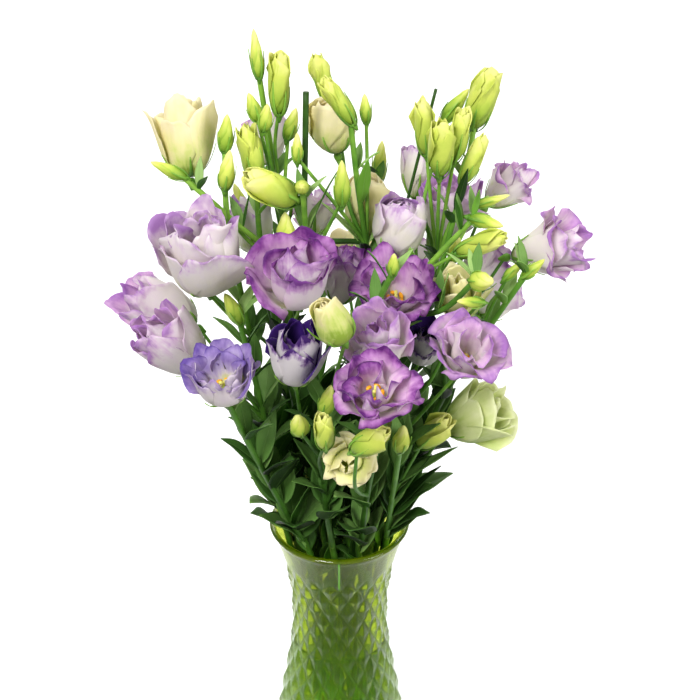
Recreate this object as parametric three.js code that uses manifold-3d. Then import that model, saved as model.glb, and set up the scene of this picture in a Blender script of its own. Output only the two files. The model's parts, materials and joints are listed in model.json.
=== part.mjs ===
// A loose bunch of lisianthus, cut and standing in a green pressed-glass vase.
// Millimetres, +Z up. The origin is the centre of the vase's foot, and the picture was taken from -Y.
import * as THREE from "three";
import { mergeVertices } from "three/addons/utils/BufferGeometryUtils.js";
import Module from "manifold-3d";

const wasm = await Module();
wasm.setup();

// Driving sizes

const VASE = {
  height: 250,
  footRadius: 43,
  bellyRadius: 52,
  bellyHeight: 32,
  waistRadius: 36.6,
  waistHeight: 165,
  rimRadius: 52,
  rimFlare: 2.1,
  lipRound: 1.8,
  lipHeight: 6,
  wall: 3.5,
  floor: 9,
  innerHeights: [222, 165, 90, 34],
};
const NET = { diamonds: 18, rows: 15, bottom: 34, top: 212, relief: 1 };
const WATER = { level: 140, sides: 24, wallGap: 0.9 };
// Between neighbouring pieces.
const GAP = 0.3;

// Stems cross the vase in a spiral: each foot is its lip place turned by this angle.
const SPIRAL = { turn: THREE.MathUtils.degToRad(100), spread: 0.95, lipHeight: 235, footHeight: 10 };
const STEM = { radius: 2.4, sides: 4, points: 8, waterGap: 0.4 };
const SHOOT = { radius: 1.45, sides: 3, points: 4 };
// How far a stem runs straight on at each end before it bends, as a share of its length.
const SWEEP_REACH = 0.4;
// A stalk ends this far up its flower or bud: inside the calyx, or inside the bud.
const STALK_END = { flower: -4.5, bud: 1 };
// A shoot forks off where its head is this far above, and more for a head further out.
const FORK = { rise: 26, perAside: 0.55 };
// Stems are bent clear of each other and of the heads by this much, in so many rounds. The last
// stretches of a stem arrive at its own head, and are not pushed.
const SETTLE = { clearance: 3, rounds: 160, evening: 0.1, pace: 0.6, longest: 4, arriving: 3 };

const PETAL_THICKNESS = 0.8;
const LEAF_THICKNESS = 0.9;
const LEAF_FOLD = 0.22;
const BUD_SIDES = 4;
// Narrow slits part neighbouring petals, as a share of a petal's half breadth.
const SLIT = 0.05;
// Heights of each whorl's underside and upper side on the axis.
const POLE = [[-2.3, 1], [-0.8, 2.2]];
const CALYX = { points: 5, length: 13, seat: 2.8, leastLean: 0.8, stand: 1.8, bottom: -8, valley: -4 };
// The heart's seat is a height above the flower's base, for each form that shows it. Outlines are
// points of (radius, height): the pistil's in millimetres, and the bud's as shares.
const HEART = {
  seat: { open: 2.8, cup: 1.2 },
  pistil: [[0, 0], [2, 6], [1, 10], [2.3, 13], [0, 14.4]],
  anther: { count: 5, radius: 1.2, length: 8, height: 9, lean: 20 },
};
const BUD_OUTLINE = [[0, -0.12], [0.98, 0.2], [0.86, 0.5], [0, 1]];
// The largest step that is smoothed away where solids were joined.
const SMOOTHING = { corolla: 0.12, stem: 0.22, water: 0.05 };

// The picture's camera: where it stood, how far it looked down, and its focal length in pixels.
const CAMERA = { eye: [8, -800, 831], lookDown: 28.6, focal: 1300, centre: 350 };

// Where each stem passes the lip of the vase.
const STEMS = {
  far_left: [-34, 4],
  left: [-26, -14],
  left_low: [-37, -11],
  left_front: [-20, -30],
  centre_left: [-9, -23],
  top_left: [-18, 8],
  top: [-4, 13],
  centre: [-3, -9],
  centre_front: [8, -20],
  front: [15, -34],
  centre_right: [8, 2],
  right_front: [23, -20],
  right: [21, -5],
  far_right: [35, -4],
  top_right: [18, 13],
  right_back: [31, 14],
  right_low: [34, -18],
  low_front: [-2, -37],
  back_left: [-15, 26],
  back_right: [9, 31],
};

// Each corolla: its name and stem, the pixel of the picture at its middle, its depth in front of
// the vase's axis, the way it faces (right, away, up), its breadth, length, form and colour.
const FLOWERS = [
  ["cream_cup_left", "far_left", [185, 143], 0, [-0.15, 0.35, 1], 44, 44, "cup", "cream"],
  ["white_lilac_left", "left", [204, 260], 66, [-0.05, -0.25, 1], 60, 47, "cup", "blush"],
  ["lilac_far_left", "left_low", [164, 309], 30, [-0.75, -0.1, 0.55], 44, 48, "cup", "lilac"],
  ["lilac_low_left", "left_low", [174, 345], 84, [-0.6, -0.35, 0.75], 46, 46, "cup", "lilac"],
  ["blue_small_left", "left_front", [223, 380], 124, [-0.05, -0.35, 0.95], 44, 32, "cup", "blue"],
  ["purple_centre_left", "centre_left", [295, 278], 82, [-0.1, -0.3, 0.9], 52, 41, "cup", "purple"],
  ["violet_cup", "centre_left", [296, 358], 114, [0.05, -0.35, 1], 40, 40, "cup", "violet"],
  ["cream_bud_front", "centre", [332, 322], 138, [-0.35, -0.4, 0.9], 26, 34, "goblet", "cream"],
  ["purple_back_left", "centre", [344, 278], 22, [0.2, 0.1, 1], 36, 36, "cup", "purple"],
  ["purple_centre", "centre_front", [396, 294], 56, [0.1, -0.35, 0.9], 56, 32, "open", "purple"],
  ["lilac_white_centre", "centre_front", [378, 344], 102, [-0.1, -0.35, 0.95], 40, 36, "cup", "lilac"],
  ["purple_open_front", "front", [375, 391], 150, [0.05, -0.5, 0.9], 58, 28, "open", "purple"],
  ["cream_goblet_centre", "centre_right", [367, 208], -20, [0.08, -0.1, 1], 31, 44, "goblet", "cream"],
  ["blush_goblet", "centre_right", [399, 229], 14, [0.12, -0.2, 1], 34, 42, "goblet", "blush"],
  ["violet_right", "right_front", [424, 345], 36, [0.1, -0.5, 0.85], 34, 34, "cup", "violet"],
  ["lilac_right", "right_front", [466, 354], 92, [0.2, -0.4, 0.9], 53, 38, "open", "lilac"],
  ["cream_right", "right", [461, 298], 42, [-0.2, -0.35, 0.9], 34, 32, "cup", "cream"],
  ["purple_behind_right", "right", [481, 268], -8, [0.4, 0.5, 0.7], 36, 34, "cup", "purple"],
  ["lilac_far_right", "far_right", [546, 250], 20, [0.85, -0.25, 0.3], 48, 48, "open", "lilac"],
  ["lilac_behind_right", "far_right", [492, 300], -46, [0.6, 0.7, 0.4], 38, 34, "cup", "lilac"],
  ["blush_slim_right", "top_right", [414, 173], -54, [-0.05, 0.1, 1], 18, 36, "goblet", "blush"],
  ["lilac_high_right", "right_back", [506, 188], -48, [0.6, 0.1, 0.6], 40, 36, "wide", "lilac"],
  ["lilac_high_centre", "right_back", [450, 212], -32, [0.05, -0.1, 1], 48, 36, "cup", "lilac"],
  ["green_white_low", "right_low", [473, 417], 60, [0.7, -0.2, 0.6], 42, 42, "cup", "greenish"],
  ["white_low", "low_front", [350, 459], 104, [-0.15, -0.9, 0.1], 30, 22, "wide", "cream"],
  ["cream_goblet_high", "top", [333, 127], -14, [-0.15, -0.1, 1], 30, 36, "goblet", "cream"],
  ["lilac_behind_top", "top_left", [266, 141], -46, [-0.1, 0.4, 1], 26, 32, "goblet", "lilac"],
  ["blush_behind_left", "back_left", [252, 228], -10, [-0.1, 0.3, 0.9], 34, 34, "cup", "blush"],
  ["lilac_back_centre", "back_left", [314, 216], -62, [0, 0.8, 0.7], 42, 34, "wide", "lilac"],
  ["purple_back_low", "back_left", [272, 262], -86, [-0.4, 0.9, 0.3], 44, 32, "wide", "purple"],
  ["cream_back_low", "back_right", [350, 262], -104, [0.1, 0.9, 0.35], 42, 34, "cup", "cream"],
  ["lilac_back_right", "back_right", [420, 268], -92, [0.5, 0.9, 0.4], 46, 32, "wide", "lilac"],
];

// Each bud: its stem, the pixel at its middle, its depth, the way it points, its breadth and length.
const BUDS = [
  ["far_left", [167, 169], 36, [-0.8, -0.2, 0.5], 8, 23],
  ["far_left", [155, 241], 4, [-0.5, -0.1, 1], 6, 17],
  ["left", [226, 131], 16, [0.12, 0, 1], 10, 23],
  ["left", [227, 168], 40, [0.15, 0, 1], 10, 24],
  ["left_low", [232, 307], 66, [-0.35, -0.3, 1], 10, 25],
  ["centre_left", [251, 152], 14, [-0.15, -0.1, 1], 14, 36],
  ["centre_left", [270, 187], 40, [-0.8, -0.4, 0.6], 20, 36],
  ["centre_left", [286, 229], 30, [0, -0.1, 1], 13, 24],
  ["top_left", [256, 51], 0, [-0.08, 0, 1], 8, 29],
  ["top_left", [279, 82], 0, [0.02, 0, 1], 13, 36],
  ["top_left", [253, 106], 4, [-0.3, 0, 1], 9, 18],
  ["top_left", [266, 116], 22, [0.2, -0.1, 1], 9, 17],
  ["top_left", [292, 122], 0, [0.3, 0, 1], 9, 20],
  ["top", [322, 78], -44, [-0.3, 0, 1], 11, 32],
  ["top", [338, 100], 14, [-0.6, -0.1, 1], 11, 32],
  ["top", [365, 107], -4, [-0.1, 0, 1], 7, 18],
  ["top", [297, 146], 22, [0, 0, 1], 7, 18],
  ["centre", [302, 187], 46, [0, -0.9, 0.4], 9, 11],
  ["centre", [342, 181], 52, [0, -0.1, 1], 10, 28],
  ["centre_right", [393, 263], 98, [0, -0.2, 1], 7, 15],
  ["right", [488, 222], 34, [0.95, -0.2, -0.15], 9, 21],
  ["right", [482, 244], 46, [0.8, -0.4, 0.5], 13, 33],
  ["right", [456, 247], 20, [0.1, -0.3, 1], 9, 20],
  ["right_front", [483, 281], 88, [0.5, -0.7, 0.3], 12, 17],
  ["right_front", [469, 302], 88, [-0.8, -0.4, 0.25], 7, 18],
  ["far_right", [516, 268], 56, [0.6, 0, 0.7], 6, 18],
  ["far_right", [535, 268], 62, [0.6, -0.1, 0.6], 7, 17],
  ["top_right", [424, 126], -4, [-0.12, 0, 1], 12, 34],
  ["top_right", [441, 147], 22, [0, -0.2, 1], 16, 36],
  ["top_right", [459, 134], 10, [0.15, 0, 1], 12, 32],
  ["top_right", [482, 97], -16, [0.2, -0.1, 1], 18, 38],
  ["top_right", [457, 104], -30, [0.6, 0, 0.8], 10, 26],
  ["right_back", [474, 158], 6, [0.4, 0, 1], 12, 32],
  ["right_back", [494, 200], 20, [0.9, -0.2, 0.4], 6, 22],
  ["right_low", [434, 431], 84, [0.55, -0.2, 0.8], 15, 28],
  ["right_low", [402, 437], 108, [0.1, -0.3, 1], 11, 22],
  ["low_front", [299, 424], 112, [-0.1, -0.4, 1], 12, 17],
  ["low_front", [324, 431], 124, [-0.05, -0.3, 1], 12, 27],
  ["low_front", [328, 398], 100, [0.2, -0.2, 1], 10, 23],
  ["front", [371, 440], 138, [0.65, -0.4, 0.75], 15, 29],
  ["front", [388, 428], 92, [0.4, -0.2, 1], 9, 22],
  ["back_left", [240, 200], -74, [-0.4, 0.5, 1], 10, 26],
  ["back_right", [380, 160], -72, [0.1, 0.4, 1], 10, 28],
  ["back_right", [455, 216], -112, [0.5, 0.6, 0.7], 10, 26],
];

// Petal whorls of each form. A profile is a Bezier curve of (share of radius, share of length);
// lap is how far, as a share of the radius, a petal's edge stands off the next petal's, and tube
// is how far up the petals are grown together.
const OPEN_OUTER = [[0.06, 0.02], [0.62, 0.16], [0.6, 0.72], [1.02, 0.74]];
const OPEN_INNER = [[0.08, 0.1], [0.42, 0.3], [0.34, 0.8], [0.68, 1]];
const CUP_OUTER = [[0.06, 0], [0.8, 0.08], [0.86, 0.6], [1.02, 0.98]];
const GOBLET_OUTER = [[0.08, 0], [1.2, 0.14], [1.16, 0.78], [0.5, 1]];
const FORMS = {
  open: [
    { petals: 5, profile: OPEN_OUTER, lap: 0.07, round: 0.2, ruffle: 0.1, tube: 0.3, rows: 2 },
    { petals: 3, profile: OPEN_INNER, lap: 0.06, round: 0.16, ruffle: 0.08, tube: 0.4, rows: 1 },
  ],
  wide: [
    { petals: 5, profile: OPEN_OUTER, lap: 0.07, round: 0.2, ruffle: 0.1, tube: 0.3, rows: 2 },
  ],
  cup: [
    { petals: 5, profile: CUP_OUTER, lap: 0.08, round: 0.2, ruffle: 0.08, tube: 0.3, rows: 2 },
  ],
  goblet: [
    { petals: 4, profile: GOBLET_OUTER, lap: 0.09, round: 0.16, ruffle: 0.03, tube: 0.3, rows: 2 },
  ],
};
// Flowers that show their yellow heart.
const HEARTED = ["blue_small_left", "purple_open_front"];

const COLOURS = {
  cream: 0xf1eccb,
  blush: 0xe6d9e6,
  lilac: 0xb794d8,
  blue: 0x9c8fd2,
  purple: 0x9461bd,
  violet: 0x4c2d92,
  greenish: 0xdfe8b4,
};

// Leaves on the bare stem, in pairs and then singly, and the small leaves at some of the forks.
const STEM_LEAVES = [
  { height: 242, length: 44, breadth: 26, rows: 2, sides: 1 },
  { height: 270, length: 54, breadth: 28, rows: 3, sides: 2 },
  { height: 314, length: 47, breadth: 23, rows: 2, sides: 2 },
  { height: 358, length: 40, breadth: 17, rows: 2, sides: 1 },
];
const FORK_LEAF = { length: 30, breadth: 9, rows: 2, chance: 0.16 };
const TIER_SCATTER = 14;
// Where a leaf finds no room it is turned, set steeper or flatter (degrees off upright at its root
// and at its tip), or made smaller.
const LEAF_TURNS = 8;
const LEAF_SIZES = [1, 0.8, 0.62];
const LEAF_RISES = [[17, 30], [26, 42], [36, 66]];
const LEAF_GAPS = { leaf: 5, stem: 0.5, other: 2, glass: 2.5, rim: 6 };

// Small helpers

// A line through points, with its stations at the points themselves.
class Polyline extends THREE.Curve {
  constructor(points) {
    super();
    this.points = points;
  }

  getPoint(t) {
    const place = Math.min(Math.max(t, 0), 1) * (this.points.length - 1);
    const low = Math.min(Math.floor(place + 1e-9), this.points.length - 2);
    return this.points[low].clone().lerp(this.points[low + 1], place - low);
  }

  getUtoTmapping(u) {
    return u;
  }
}

const vec = (x, y, z) => new THREE.Vector3(x, y, z);
const radians = THREE.MathUtils.degToRad;

// A steady draw between 0 and 1 for a whole number.
function draw(seed) {
  const wave = Math.sin(seed * 127.1 + 311.7) * 43758.5453;
  return wave - Math.floor(wave);
}

function bezier(points, t) {
  const s = 1 - t;
  const weights = [s * s * s, 3 * s * s * t, 3 * s * t * t, t * t * t];
  return [0, 1].map((axis) => points.reduce((sum, point, i) => sum + weights[i] * point[axis], 0));
}

// The point at a given depth on the ray through a pixel of the picture.
function seen([px, py], depth) {
  const down = radians(CAMERA.lookDown);
  const right = (px - CAMERA.centre) / CAMERA.focal;
  const rise = (CAMERA.centre - py) / CAMERA.focal;
  const ray = vec(right, Math.cos(down) + rise * Math.sin(down), rise * Math.cos(down) - Math.sin(down));
  const eye = vec(...CAMERA.eye);
  return eye.addScaledVector(ray, (-depth - eye.y) / ray.y);
}

// Heads: where each corolla and bud sits, and which way it faces

function makeHead(stem, pixel, depth, faces, breadth, length, stalkEnd) {
  const axis = vec(...faces).normalize();
  const base = seen(pixel, depth).addScaledVector(axis, -length / 2);
  return { stem, base, axis, breadth, length, end: base.clone().addScaledVector(axis, stalkEnd) };
}

const flowers = FLOWERS.map(([name, stem, pixel, depth, faces, breadth, length, form, hue], i) => ({
  ...makeHead(stem, pixel, depth, faces, breadth, length, STALK_END.flower),
  name,
  form,
  hue,
  seed: i + 1,
}));

const buds = BUDS.map(([stem, pixel, depth, faces, breadth, length], i) => ({
  ...makeHead(stem, pixel, depth, faces, breadth, length, STALK_END.bud),
  form: "bud",
  seed: 100 + i,
}));

const heads = [...flowers, ...buds];

// The turn that stands a head's own +Z along the way it faces.
function headTurn(head) {
  const stand = new THREE.Quaternion().setFromUnitVectors(vec(0, 0, 1), head.axis);
  const roll = new THREE.Quaternion().setFromAxisAngle(vec(0, 0, 1), draw(head.seed) * 2 * Math.PI);
  return stand.multiply(roll);
}

// The rounded bodies that a head keeps clear, as thick lines: one round the axis, for a flower one
// along each calyx point, and for a wide flower more round its mouth, as (radius, height). Shares
// are of its radius and length.
const ROOM = {
  around: 6,
  calyx: { from: -2, radius: 0.6 },
  bud: { core: [0.3, 0.6, 0.95] },
  goblet: { core: [0.42, 0.62, 1] },
  cup: { core: [0.3, 0.6, 0.6], rim: [[0.5, 0.34], [0.72, 0.82]], thick: 0.36 },
  wide: { core: [0.25, 0.6, 0.5], rim: [[0.45, 0.36], [0.78, 0.7]], thick: 0.3 },
  open: { core: [0.25, 0.6, 0.5], rim: [[0.45, 0.36], [0.78, 0.7]], thick: 0.3 },
};

function roomOf(head) {
  const radius = head.breadth / 2;
  const turn = headTurn(head);
  const at = (r, z, angle) =>
    vec(r * radius * Math.cos(angle), r * radius * Math.sin(angle), z * head.length)
      .applyQuaternion(turn)
      .add(head.base);
  const { core, rim, thick } = ROOM[head.form];
  const bodies = [{ from: at(0, core[0], 0), to: at(0, core[1], 0), radius: core[2] * radius }];
  if (head.form !== "bud") bodies.push(...calyxRoom(head, turn));
  if (!rim) return bodies;
  for (let i = 0; i < ROOM.around; i += 1) {
    const [from, to] = rim.map(([r, z]) => at(r, z, (i / ROOM.around) * 2 * Math.PI));
    bodies.push({ from, to, radius: thick * radius });
  }
  return bodies;
}

function calyxRoom(head, turn) {
  const reach = calyxReach(head);
  const from = head.base.clone().addScaledVector(head.axis, ROOM.calyx.from);
  return Array.from({ length: CALYX.points }, (_, i) => {
    const angle = ((i + 0.5) / CALYX.points) * 2 * Math.PI;
    const tip = vec(reach * Math.cos(angle), reach * Math.sin(angle), CALYX.length);
    return { from, to: tip.applyQuaternion(turn).add(head.base), radius: ROOM.calyx.radius };
  });
}

// Stems and their side shoots, as lines of points

function spiralFoot([x, y]) {
  const cos = Math.cos(SPIRAL.turn) * SPIRAL.spread;
  const sin = Math.sin(SPIRAL.turn) * SPIRAL.spread;
  return vec(x * cos - y * sin, x * sin + y * cos, SPIRAL.footHeight);
}

// Points of a cubic curve that leaves along one direction and arrives along another.
function sweep(start, leaving, end, arriving, count) {
  const reach = start.distanceTo(end) * SWEEP_REACH;
  const curve = new THREE.CubicBezierCurve3(
    start,
    start.clone().addScaledVector(leaving, reach),
    end.clone().addScaledVector(arriving, -reach),
    end,
  );
  return curve.getPoints(count - 1);
}

// The point of the leader where a side shoot leaves it: lower for a head further out.
function forkIndex(points, head) {
  for (let i = points.length - 3; i > 1; i -= 1) {
    const out = head.base.clone().sub(points[i]);
    const aside = Math.hypot(out.x, out.y);
    if (out.z > FORK.rise + FORK.perAside * aside) return i;
  }
  return 1;
}

function makeStem(name) {
  const own = heads.filter((head) => head.stem === name);
  own.sort((a, b) => b.base.z - a.base.z);
  const foot = spiralFoot(STEMS[name]);
  const lip = vec(...STEMS[name], SPIRAL.lipHeight);
  const rising = lip.clone().sub(foot).normalize();
  const [leader, ...others] = own;
  const main = {
    stem: name,
    head: leader,
    foot,
    radius: STEM.radius,
    points: sweep(lip, rising, leader.end, leader.axis, STEM.points),
  };
  const shoots = others.map((head) => {
    const fork = forkIndex(main.points, head);
    const along = main.points[fork + 1].clone().sub(main.points[fork]).normalize();
    along.add(head.end.clone().sub(main.points[fork]).normalize()).normalize();
    const points = sweep(main.points[fork], along, head.end, head.axis, SHOOT.points);
    return { stem: name, head, parent: main, fork, radius: SHOOT.radius, points };
  });
  return [main, ...shoots];
}

// The nearest points of two straight lines, as shares of each line's length.
function nearest(p, q, r, s) {
  const a = q.clone().sub(p);
  const b = s.clone().sub(r);
  const c = p.clone().sub(r);
  const aa = a.dot(a) + 1e-9;
  const bb = b.dot(b) + 1e-9;
  const ab = a.dot(b);
  const ac = a.dot(c);
  const bc = b.dot(c);
  const clamp = (x) => Math.min(1, Math.max(0, x));
  const share = clamp((ab * bc - ac * bb) / Math.max(aa * bb - ab * ab, 1e-9));
  const other = clamp((ab * share + bc) / bb);
  return [clamp((ab * other - ac) / aa), other];
}

// A stretch of stem, or one body of a head, with the ball that surrounds it.
function withBall(body) {
  const middle = body.from.clone().add(body.to).multiplyScalar(0.5);
  return { ...body, middle, ball: body.from.distanceTo(body.to) / 2 + body.radius };
}

function stretchesOf(strands) {
  return strands.flatMap((strand) =>
    strand.points.slice(1).map((to, index) =>
      withBall({ strand, index, from: strand.points[index], to, radius: strand.radius }),
    ),
  );
}

function roomsOf(strands) {
  return strands.flatMap((strand) =>
    roomOf(strand.head).map((body) => withBall({ strand, index: -1, ...body })),
  );
}

const movable = (strand, index) => index > 0 && index < strand.points.length - 1;

// Bends the stems clear of each other and of the heads, a little in each round.
function settle(strands) {
  const rooms = roomsOf(strands);
  for (let round = 0; round < SETTLE.rounds; round += 1) {
    const evening = SETTLE.evening * (1 - round / SETTLE.rounds);
    const stretches = stretchesOf(strands);
    const pushes = new Map(strands.map((strand) => [strand, strand.points.map(() => vec(0, 0, 0))]));
    stretches.forEach((one, i) => {
      for (let j = i + 1; j < stretches.length; j += 1) pushApart(one, stretches[j], pushes);
      for (const room of rooms) pushApart(one, room, pushes);
    });
    for (const strand of strands) {
      const old = strand.points.map((point) => point.clone());
      strand.points.forEach((point, i) => {
        if (!movable(strand, i)) return;
        const middle = old[i - 1].clone().add(old[i + 1]).multiplyScalar(0.5);
        point.lerp(middle, evening);
        point.add(pushes.get(strand)[i].clampLength(0, SETTLE.longest).multiplyScalar(SETTLE.pace));
      });
      if (strand.parent) strand.points[0].copy(strand.parent.points[strand.fork]);
    }
  }
}

function pushApart(one, two, pushes) {
  const reach = one.ball + two.ball + SETTLE.clearance;
  if (one.middle.distanceToSquared(two.middle) > reach * reach) return;
  const sameStem = one.strand.stem === two.strand.stem;
  const left = one.strand.points.length - 1 - one.index;
  const arriving = one.strand === two.strand && left <= SETTLE.arriving;
  if (arriving || (sameStem && two.index >= 0)) return;
  const keep = one.radius + two.radius + SETTLE.clearance;
  const [share, other] = nearest(one.from, one.to, two.from, two.to);
  const away = one.from.clone().lerp(one.to, share).sub(two.from.clone().lerp(two.to, other));
  const distance = away.length();
  if (distance >= keep || distance < 1e-6) return;
  away.multiplyScalar((keep - distance) / distance);
  const part = two.index < 0 ? 1 : 0.5;
  movePoints(one, share, away, part, pushes);
  movePoints(two, other, away, -part, pushes);
}

function movePoints(stretch, share, away, amount, pushes) {
  if (stretch.index < 0) return;
  const moved = pushes.get(stretch.strand);
  moved[stretch.index].addScaledVector(away, amount * (1 - share));
  moved[stretch.index + 1].addScaledVector(away, amount * share);
}

const strands = Object.keys(STEMS).flatMap(makeStem);
settle(strands);

// Solids

function solidOf(geometry) {
  const bare = geometry.clone();
  bare.deleteAttribute("normal");
  bare.deleteAttribute("uv");
  const merged = mergeVertices(bare, 1e-4);
  const index = merged.index.array;
  const kept = [];
  for (let i = 0; i < index.length; i += 3) {
    const corners = [index[i], index[i + 1], index[i + 2]];
    if (new Set(corners).size === 3) kept.push(...corners);
  }
  const mesh = new wasm.Mesh({
    numProp: 3,
    vertProperties: new Float32Array(merged.attributes.position.array),
    triVerts: new Uint32Array(kept),
  });
  const solid = new wasm.Manifold(mesh);
  if (solid.volume() > 0) return solid;
  for (let i = 0; i < kept.length; i += 3) [kept[i + 1], kept[i + 2]] = [kept[i + 2], kept[i + 1]];
  return new wasm.Manifold(new wasm.Mesh({ ...mesh, numProp: 3, triVerts: new Uint32Array(kept) }));
}

const join = (solids) => solids.reduce((all, solid) => all.add(solid));

function geometryOf(solid) {
  const mesh = solid.getMesh();
  const geometry = new THREE.BufferGeometry();
  geometry.setAttribute("position", new THREE.BufferAttribute(mesh.vertProperties, 3));
  geometry.setIndex(new THREE.BufferAttribute(mesh.triVerts, 1));
  return geometry;
}

// The largest body of a join, without its needless short edges.
function whole(solid, smoothing) {
  const bodies = solid.decompose();
  return bodies.reduce((best, body) => (body.volume() > best.volume() ? body : best)).simplify(smoothing);
}

// Thin skins are made of pairs of points, one on each face, and both faces are split alike.
function addPair(positions, middle, normal, thickness = PETAL_THICKNESS) {
  const number = positions.length / 3;
  const half = normal.clone().multiplyScalar(thickness / 2);
  positions.push(...middle.clone().add(half).toArray(), ...middle.clone().sub(half).toArray());
  return number;
}

function pairFace(index, a, b, c) {
  index.push(a, b, c, a + 1, c + 1, b + 1);
}

function pairWall(index, a, b) {
  index.push(a, a + 1, b, b, a + 1, b + 1);
}

function indexed(positions, index) {
  const geometry = new THREE.BufferGeometry();
  geometry.setAttribute("position", new THREE.Float32BufferAttribute(positions, 3));
  geometry.setIndex(index);
  return geometry;
}

// A leaf as a closed skin on a surface of u from -1 to 1 and v from 0 to 1, pointed at both ends.
// A leaf of two rows is flat, and one of more is folded along its rib.
function leafGeometry(surface, rows) {
  const positions = [];
  const step = 0.02;
  const normalAt = (u, v) => {
    const across = surface(u + step, v).sub(surface(u - step, v));
    return across.cross(surface(u, v + step).sub(surface(u, v - step))).normalize();
  };
  const point = (u, v) => addPair(positions, surface(u, v), normalAt(u, v), LEAF_THICKNESS);
  const across = rows > 2 ? [-1, 0, 1] : [-1, 1];
  const rings = Array.from({ length: rows - 1 }, (_, row) => across.map((u) => point(u, (row + 1) / rows)));
  const root = addPair(positions, surface(0, 0), normalAt(0, 0.1), LEAF_THICKNESS);
  const tip = point(0, 0.995);
  const index = [];
  const [first] = rings;
  const last = rings[rings.length - 1];
  for (let i = 0; i + 1 < across.length; i += 1) {
    pairFace(index, root, first[i + 1], first[i]);
    pairFace(index, tip, last[i], last[i + 1]);
    rings.slice(1).forEach((high, row) => {
      pairFace(index, rings[row][i], rings[row][i + 1], high[i]);
      pairFace(index, rings[row][i + 1], high[i + 1], high[i]);
    });
  }
  const left = [root, ...rings.map((ring) => ring[0]), tip];
  const right = [root, ...rings.map((ring) => ring[ring.length - 1]), tip];
  for (let i = 0; i + 1 < left.length; i += 1) {
    pairWall(index, left[i + 1], left[i]);
    pairWall(index, right[i], right[i + 1]);
  }
  return indexed(positions, index);
}

// An outline of (radius, height) turned round the upright axis.
function turned(outline, sides) {
  const points = outline.map((point) => new THREE.Vector2(...point));
  return new THREE.LatheGeometry(points, sides).rotateX(Math.PI / 2);
}

// A tube of constant section through points.
function tube(points, radius, sides) {
  const section = new THREE.Shape();
  for (let i = 0; i < sides; i += 1) {
    const angle = (i / sides) * 2 * Math.PI;
    if (i === 0) section.moveTo(radius, 0);
    else section.lineTo(radius * Math.cos(angle), radius * Math.sin(angle));
  }
  const extrudePath = new Polyline(points);
  return new THREE.ExtrudeGeometry(section, { steps: points.length - 1, bevelEnabled: false, extrudePath });
}

// Corollas

// A point of a petal: its profile turned round the flower's axis, one edge lifted over the next
// petal, the far edge rounded, and the margin waved along the surface's normal. The wave runs
// round the whole flower, so that neighbouring petals wave alike and stay apart.
function petalPoint(head, whorl, number, u, v) {
  const radius = head.breadth / 2;
  const place = Math.PI / whorl.petals;
  const free = Math.max(0, v - whorl.tube) / (1 - whorl.tube);
  const s = v - whorl.round * free * u * u;
  const [r, z] = bezier(whorl.profile, s);
  const [r2, z2] = bezier(whorl.profile, s + 0.01);
  const slope = [(r2 - r) * radius, (z2 - z) * head.length];
  const share = 1 - SLIT * Math.min(1, 3 * free);
  const angle = (2 * number + FORMS[head.form].indexOf(whorl) + u * share) * place;
  const phase = draw(head.seed * 31) * 2 * Math.PI;
  const swell = Math.sin(5 * angle + phase) + 0.5 * Math.sin(8 * angle - phase);
  const lift = radius * (whorl.lap * u * free + whorl.ruffle * free * free * swell);
  const offset = lift / Math.hypot(...slope);
  const out = r * radius + offset * slope[1];
  return vec(out * Math.cos(angle), out * Math.sin(angle), z * head.length - offset * slope[0]);
}

// A whorl as one closed skin: a short tube from a pole on the axis, then its petals, each free.
function whorlGeometry(head, whorl) {
  const positions = [];
  const point = (number, u, v) => {
    const step = 0.02;
    const at = (a, b) => petalPoint(head, whorl, number, a, b);
    const across = at(u + step, v).sub(at(u - step, v));
    const normal = across.cross(at(u, v + step).sub(at(u, v - step))).normalize();
    return addPair(positions, at(u, v), normal);
  };
  const inner = FORMS[head.form].indexOf(whorl);
  const [bottom, top] = POLE[inner];
  const pole = addPair(positions, vec(0, 0, (bottom + top) / 2), vec(0, 0, -1), top - bottom);
  const collar = [];
  for (let number = 0; number < whorl.petals; number += 1)
    collar.push(point(number, -1, whorl.tube), point(number, 0, whorl.tube));
  const index = [];
  for (let number = 0; number < whorl.petals; number += 1) {
    let low = [0, 1, 2].map((i) => collar[(2 * number + i) % collar.length]);
    pairFace(index, pole, low[1], low[0]);
    pairFace(index, pole, low[2], low[1]);
    for (let row = 1; row <= whorl.rows; row += 1) {
      const v = whorl.tube + ((1 - whorl.tube) * row) / whorl.rows;
      const high = [-1, 0, 1].map((u) => point(number, u, v));
      for (const i of [0, 1]) {
        pairFace(index, low[i], low[i + 1], high[i]);
        pairFace(index, low[i + 1], high[i + 1], high[i]);
      }
      pairWall(index, high[0], low[0]);
      pairWall(index, low[2], high[2]);
      low = high;
    }
    pairWall(index, low[1], low[0]);
    pairWall(index, low[2], low[1]);
  }
  return indexed(positions, index);
}

function corollaSolid(flower) {
  const whorls = FORMS[flower.form].map((whorl) => solidOf(whorlGeometry(flower, whorl)));
  return whole(join(whorls), SMOOTHING.corolla);
}

// The ovary, style and two-lobed stigma, turned as one, with five anthers round them.
function heartSolid() {
  const { count, radius, length, height, lean } = HEART.anther;
  const pistil = turned(HEART.pistil, count);
  const anthers = Array.from({ length: count }, (_, i) => {
    const anther = new THREE.ConeGeometry(radius, length, 3);
    anther.rotateX(Math.PI / 2).translate(0, 0, height).rotateY(radians(lean));
    return anther.rotateZ((i / count) * 2 * Math.PI);
  });
  return whole(join([pistil, ...anthers].map(solidOf)), SMOOTHING.corolla);
}

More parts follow.
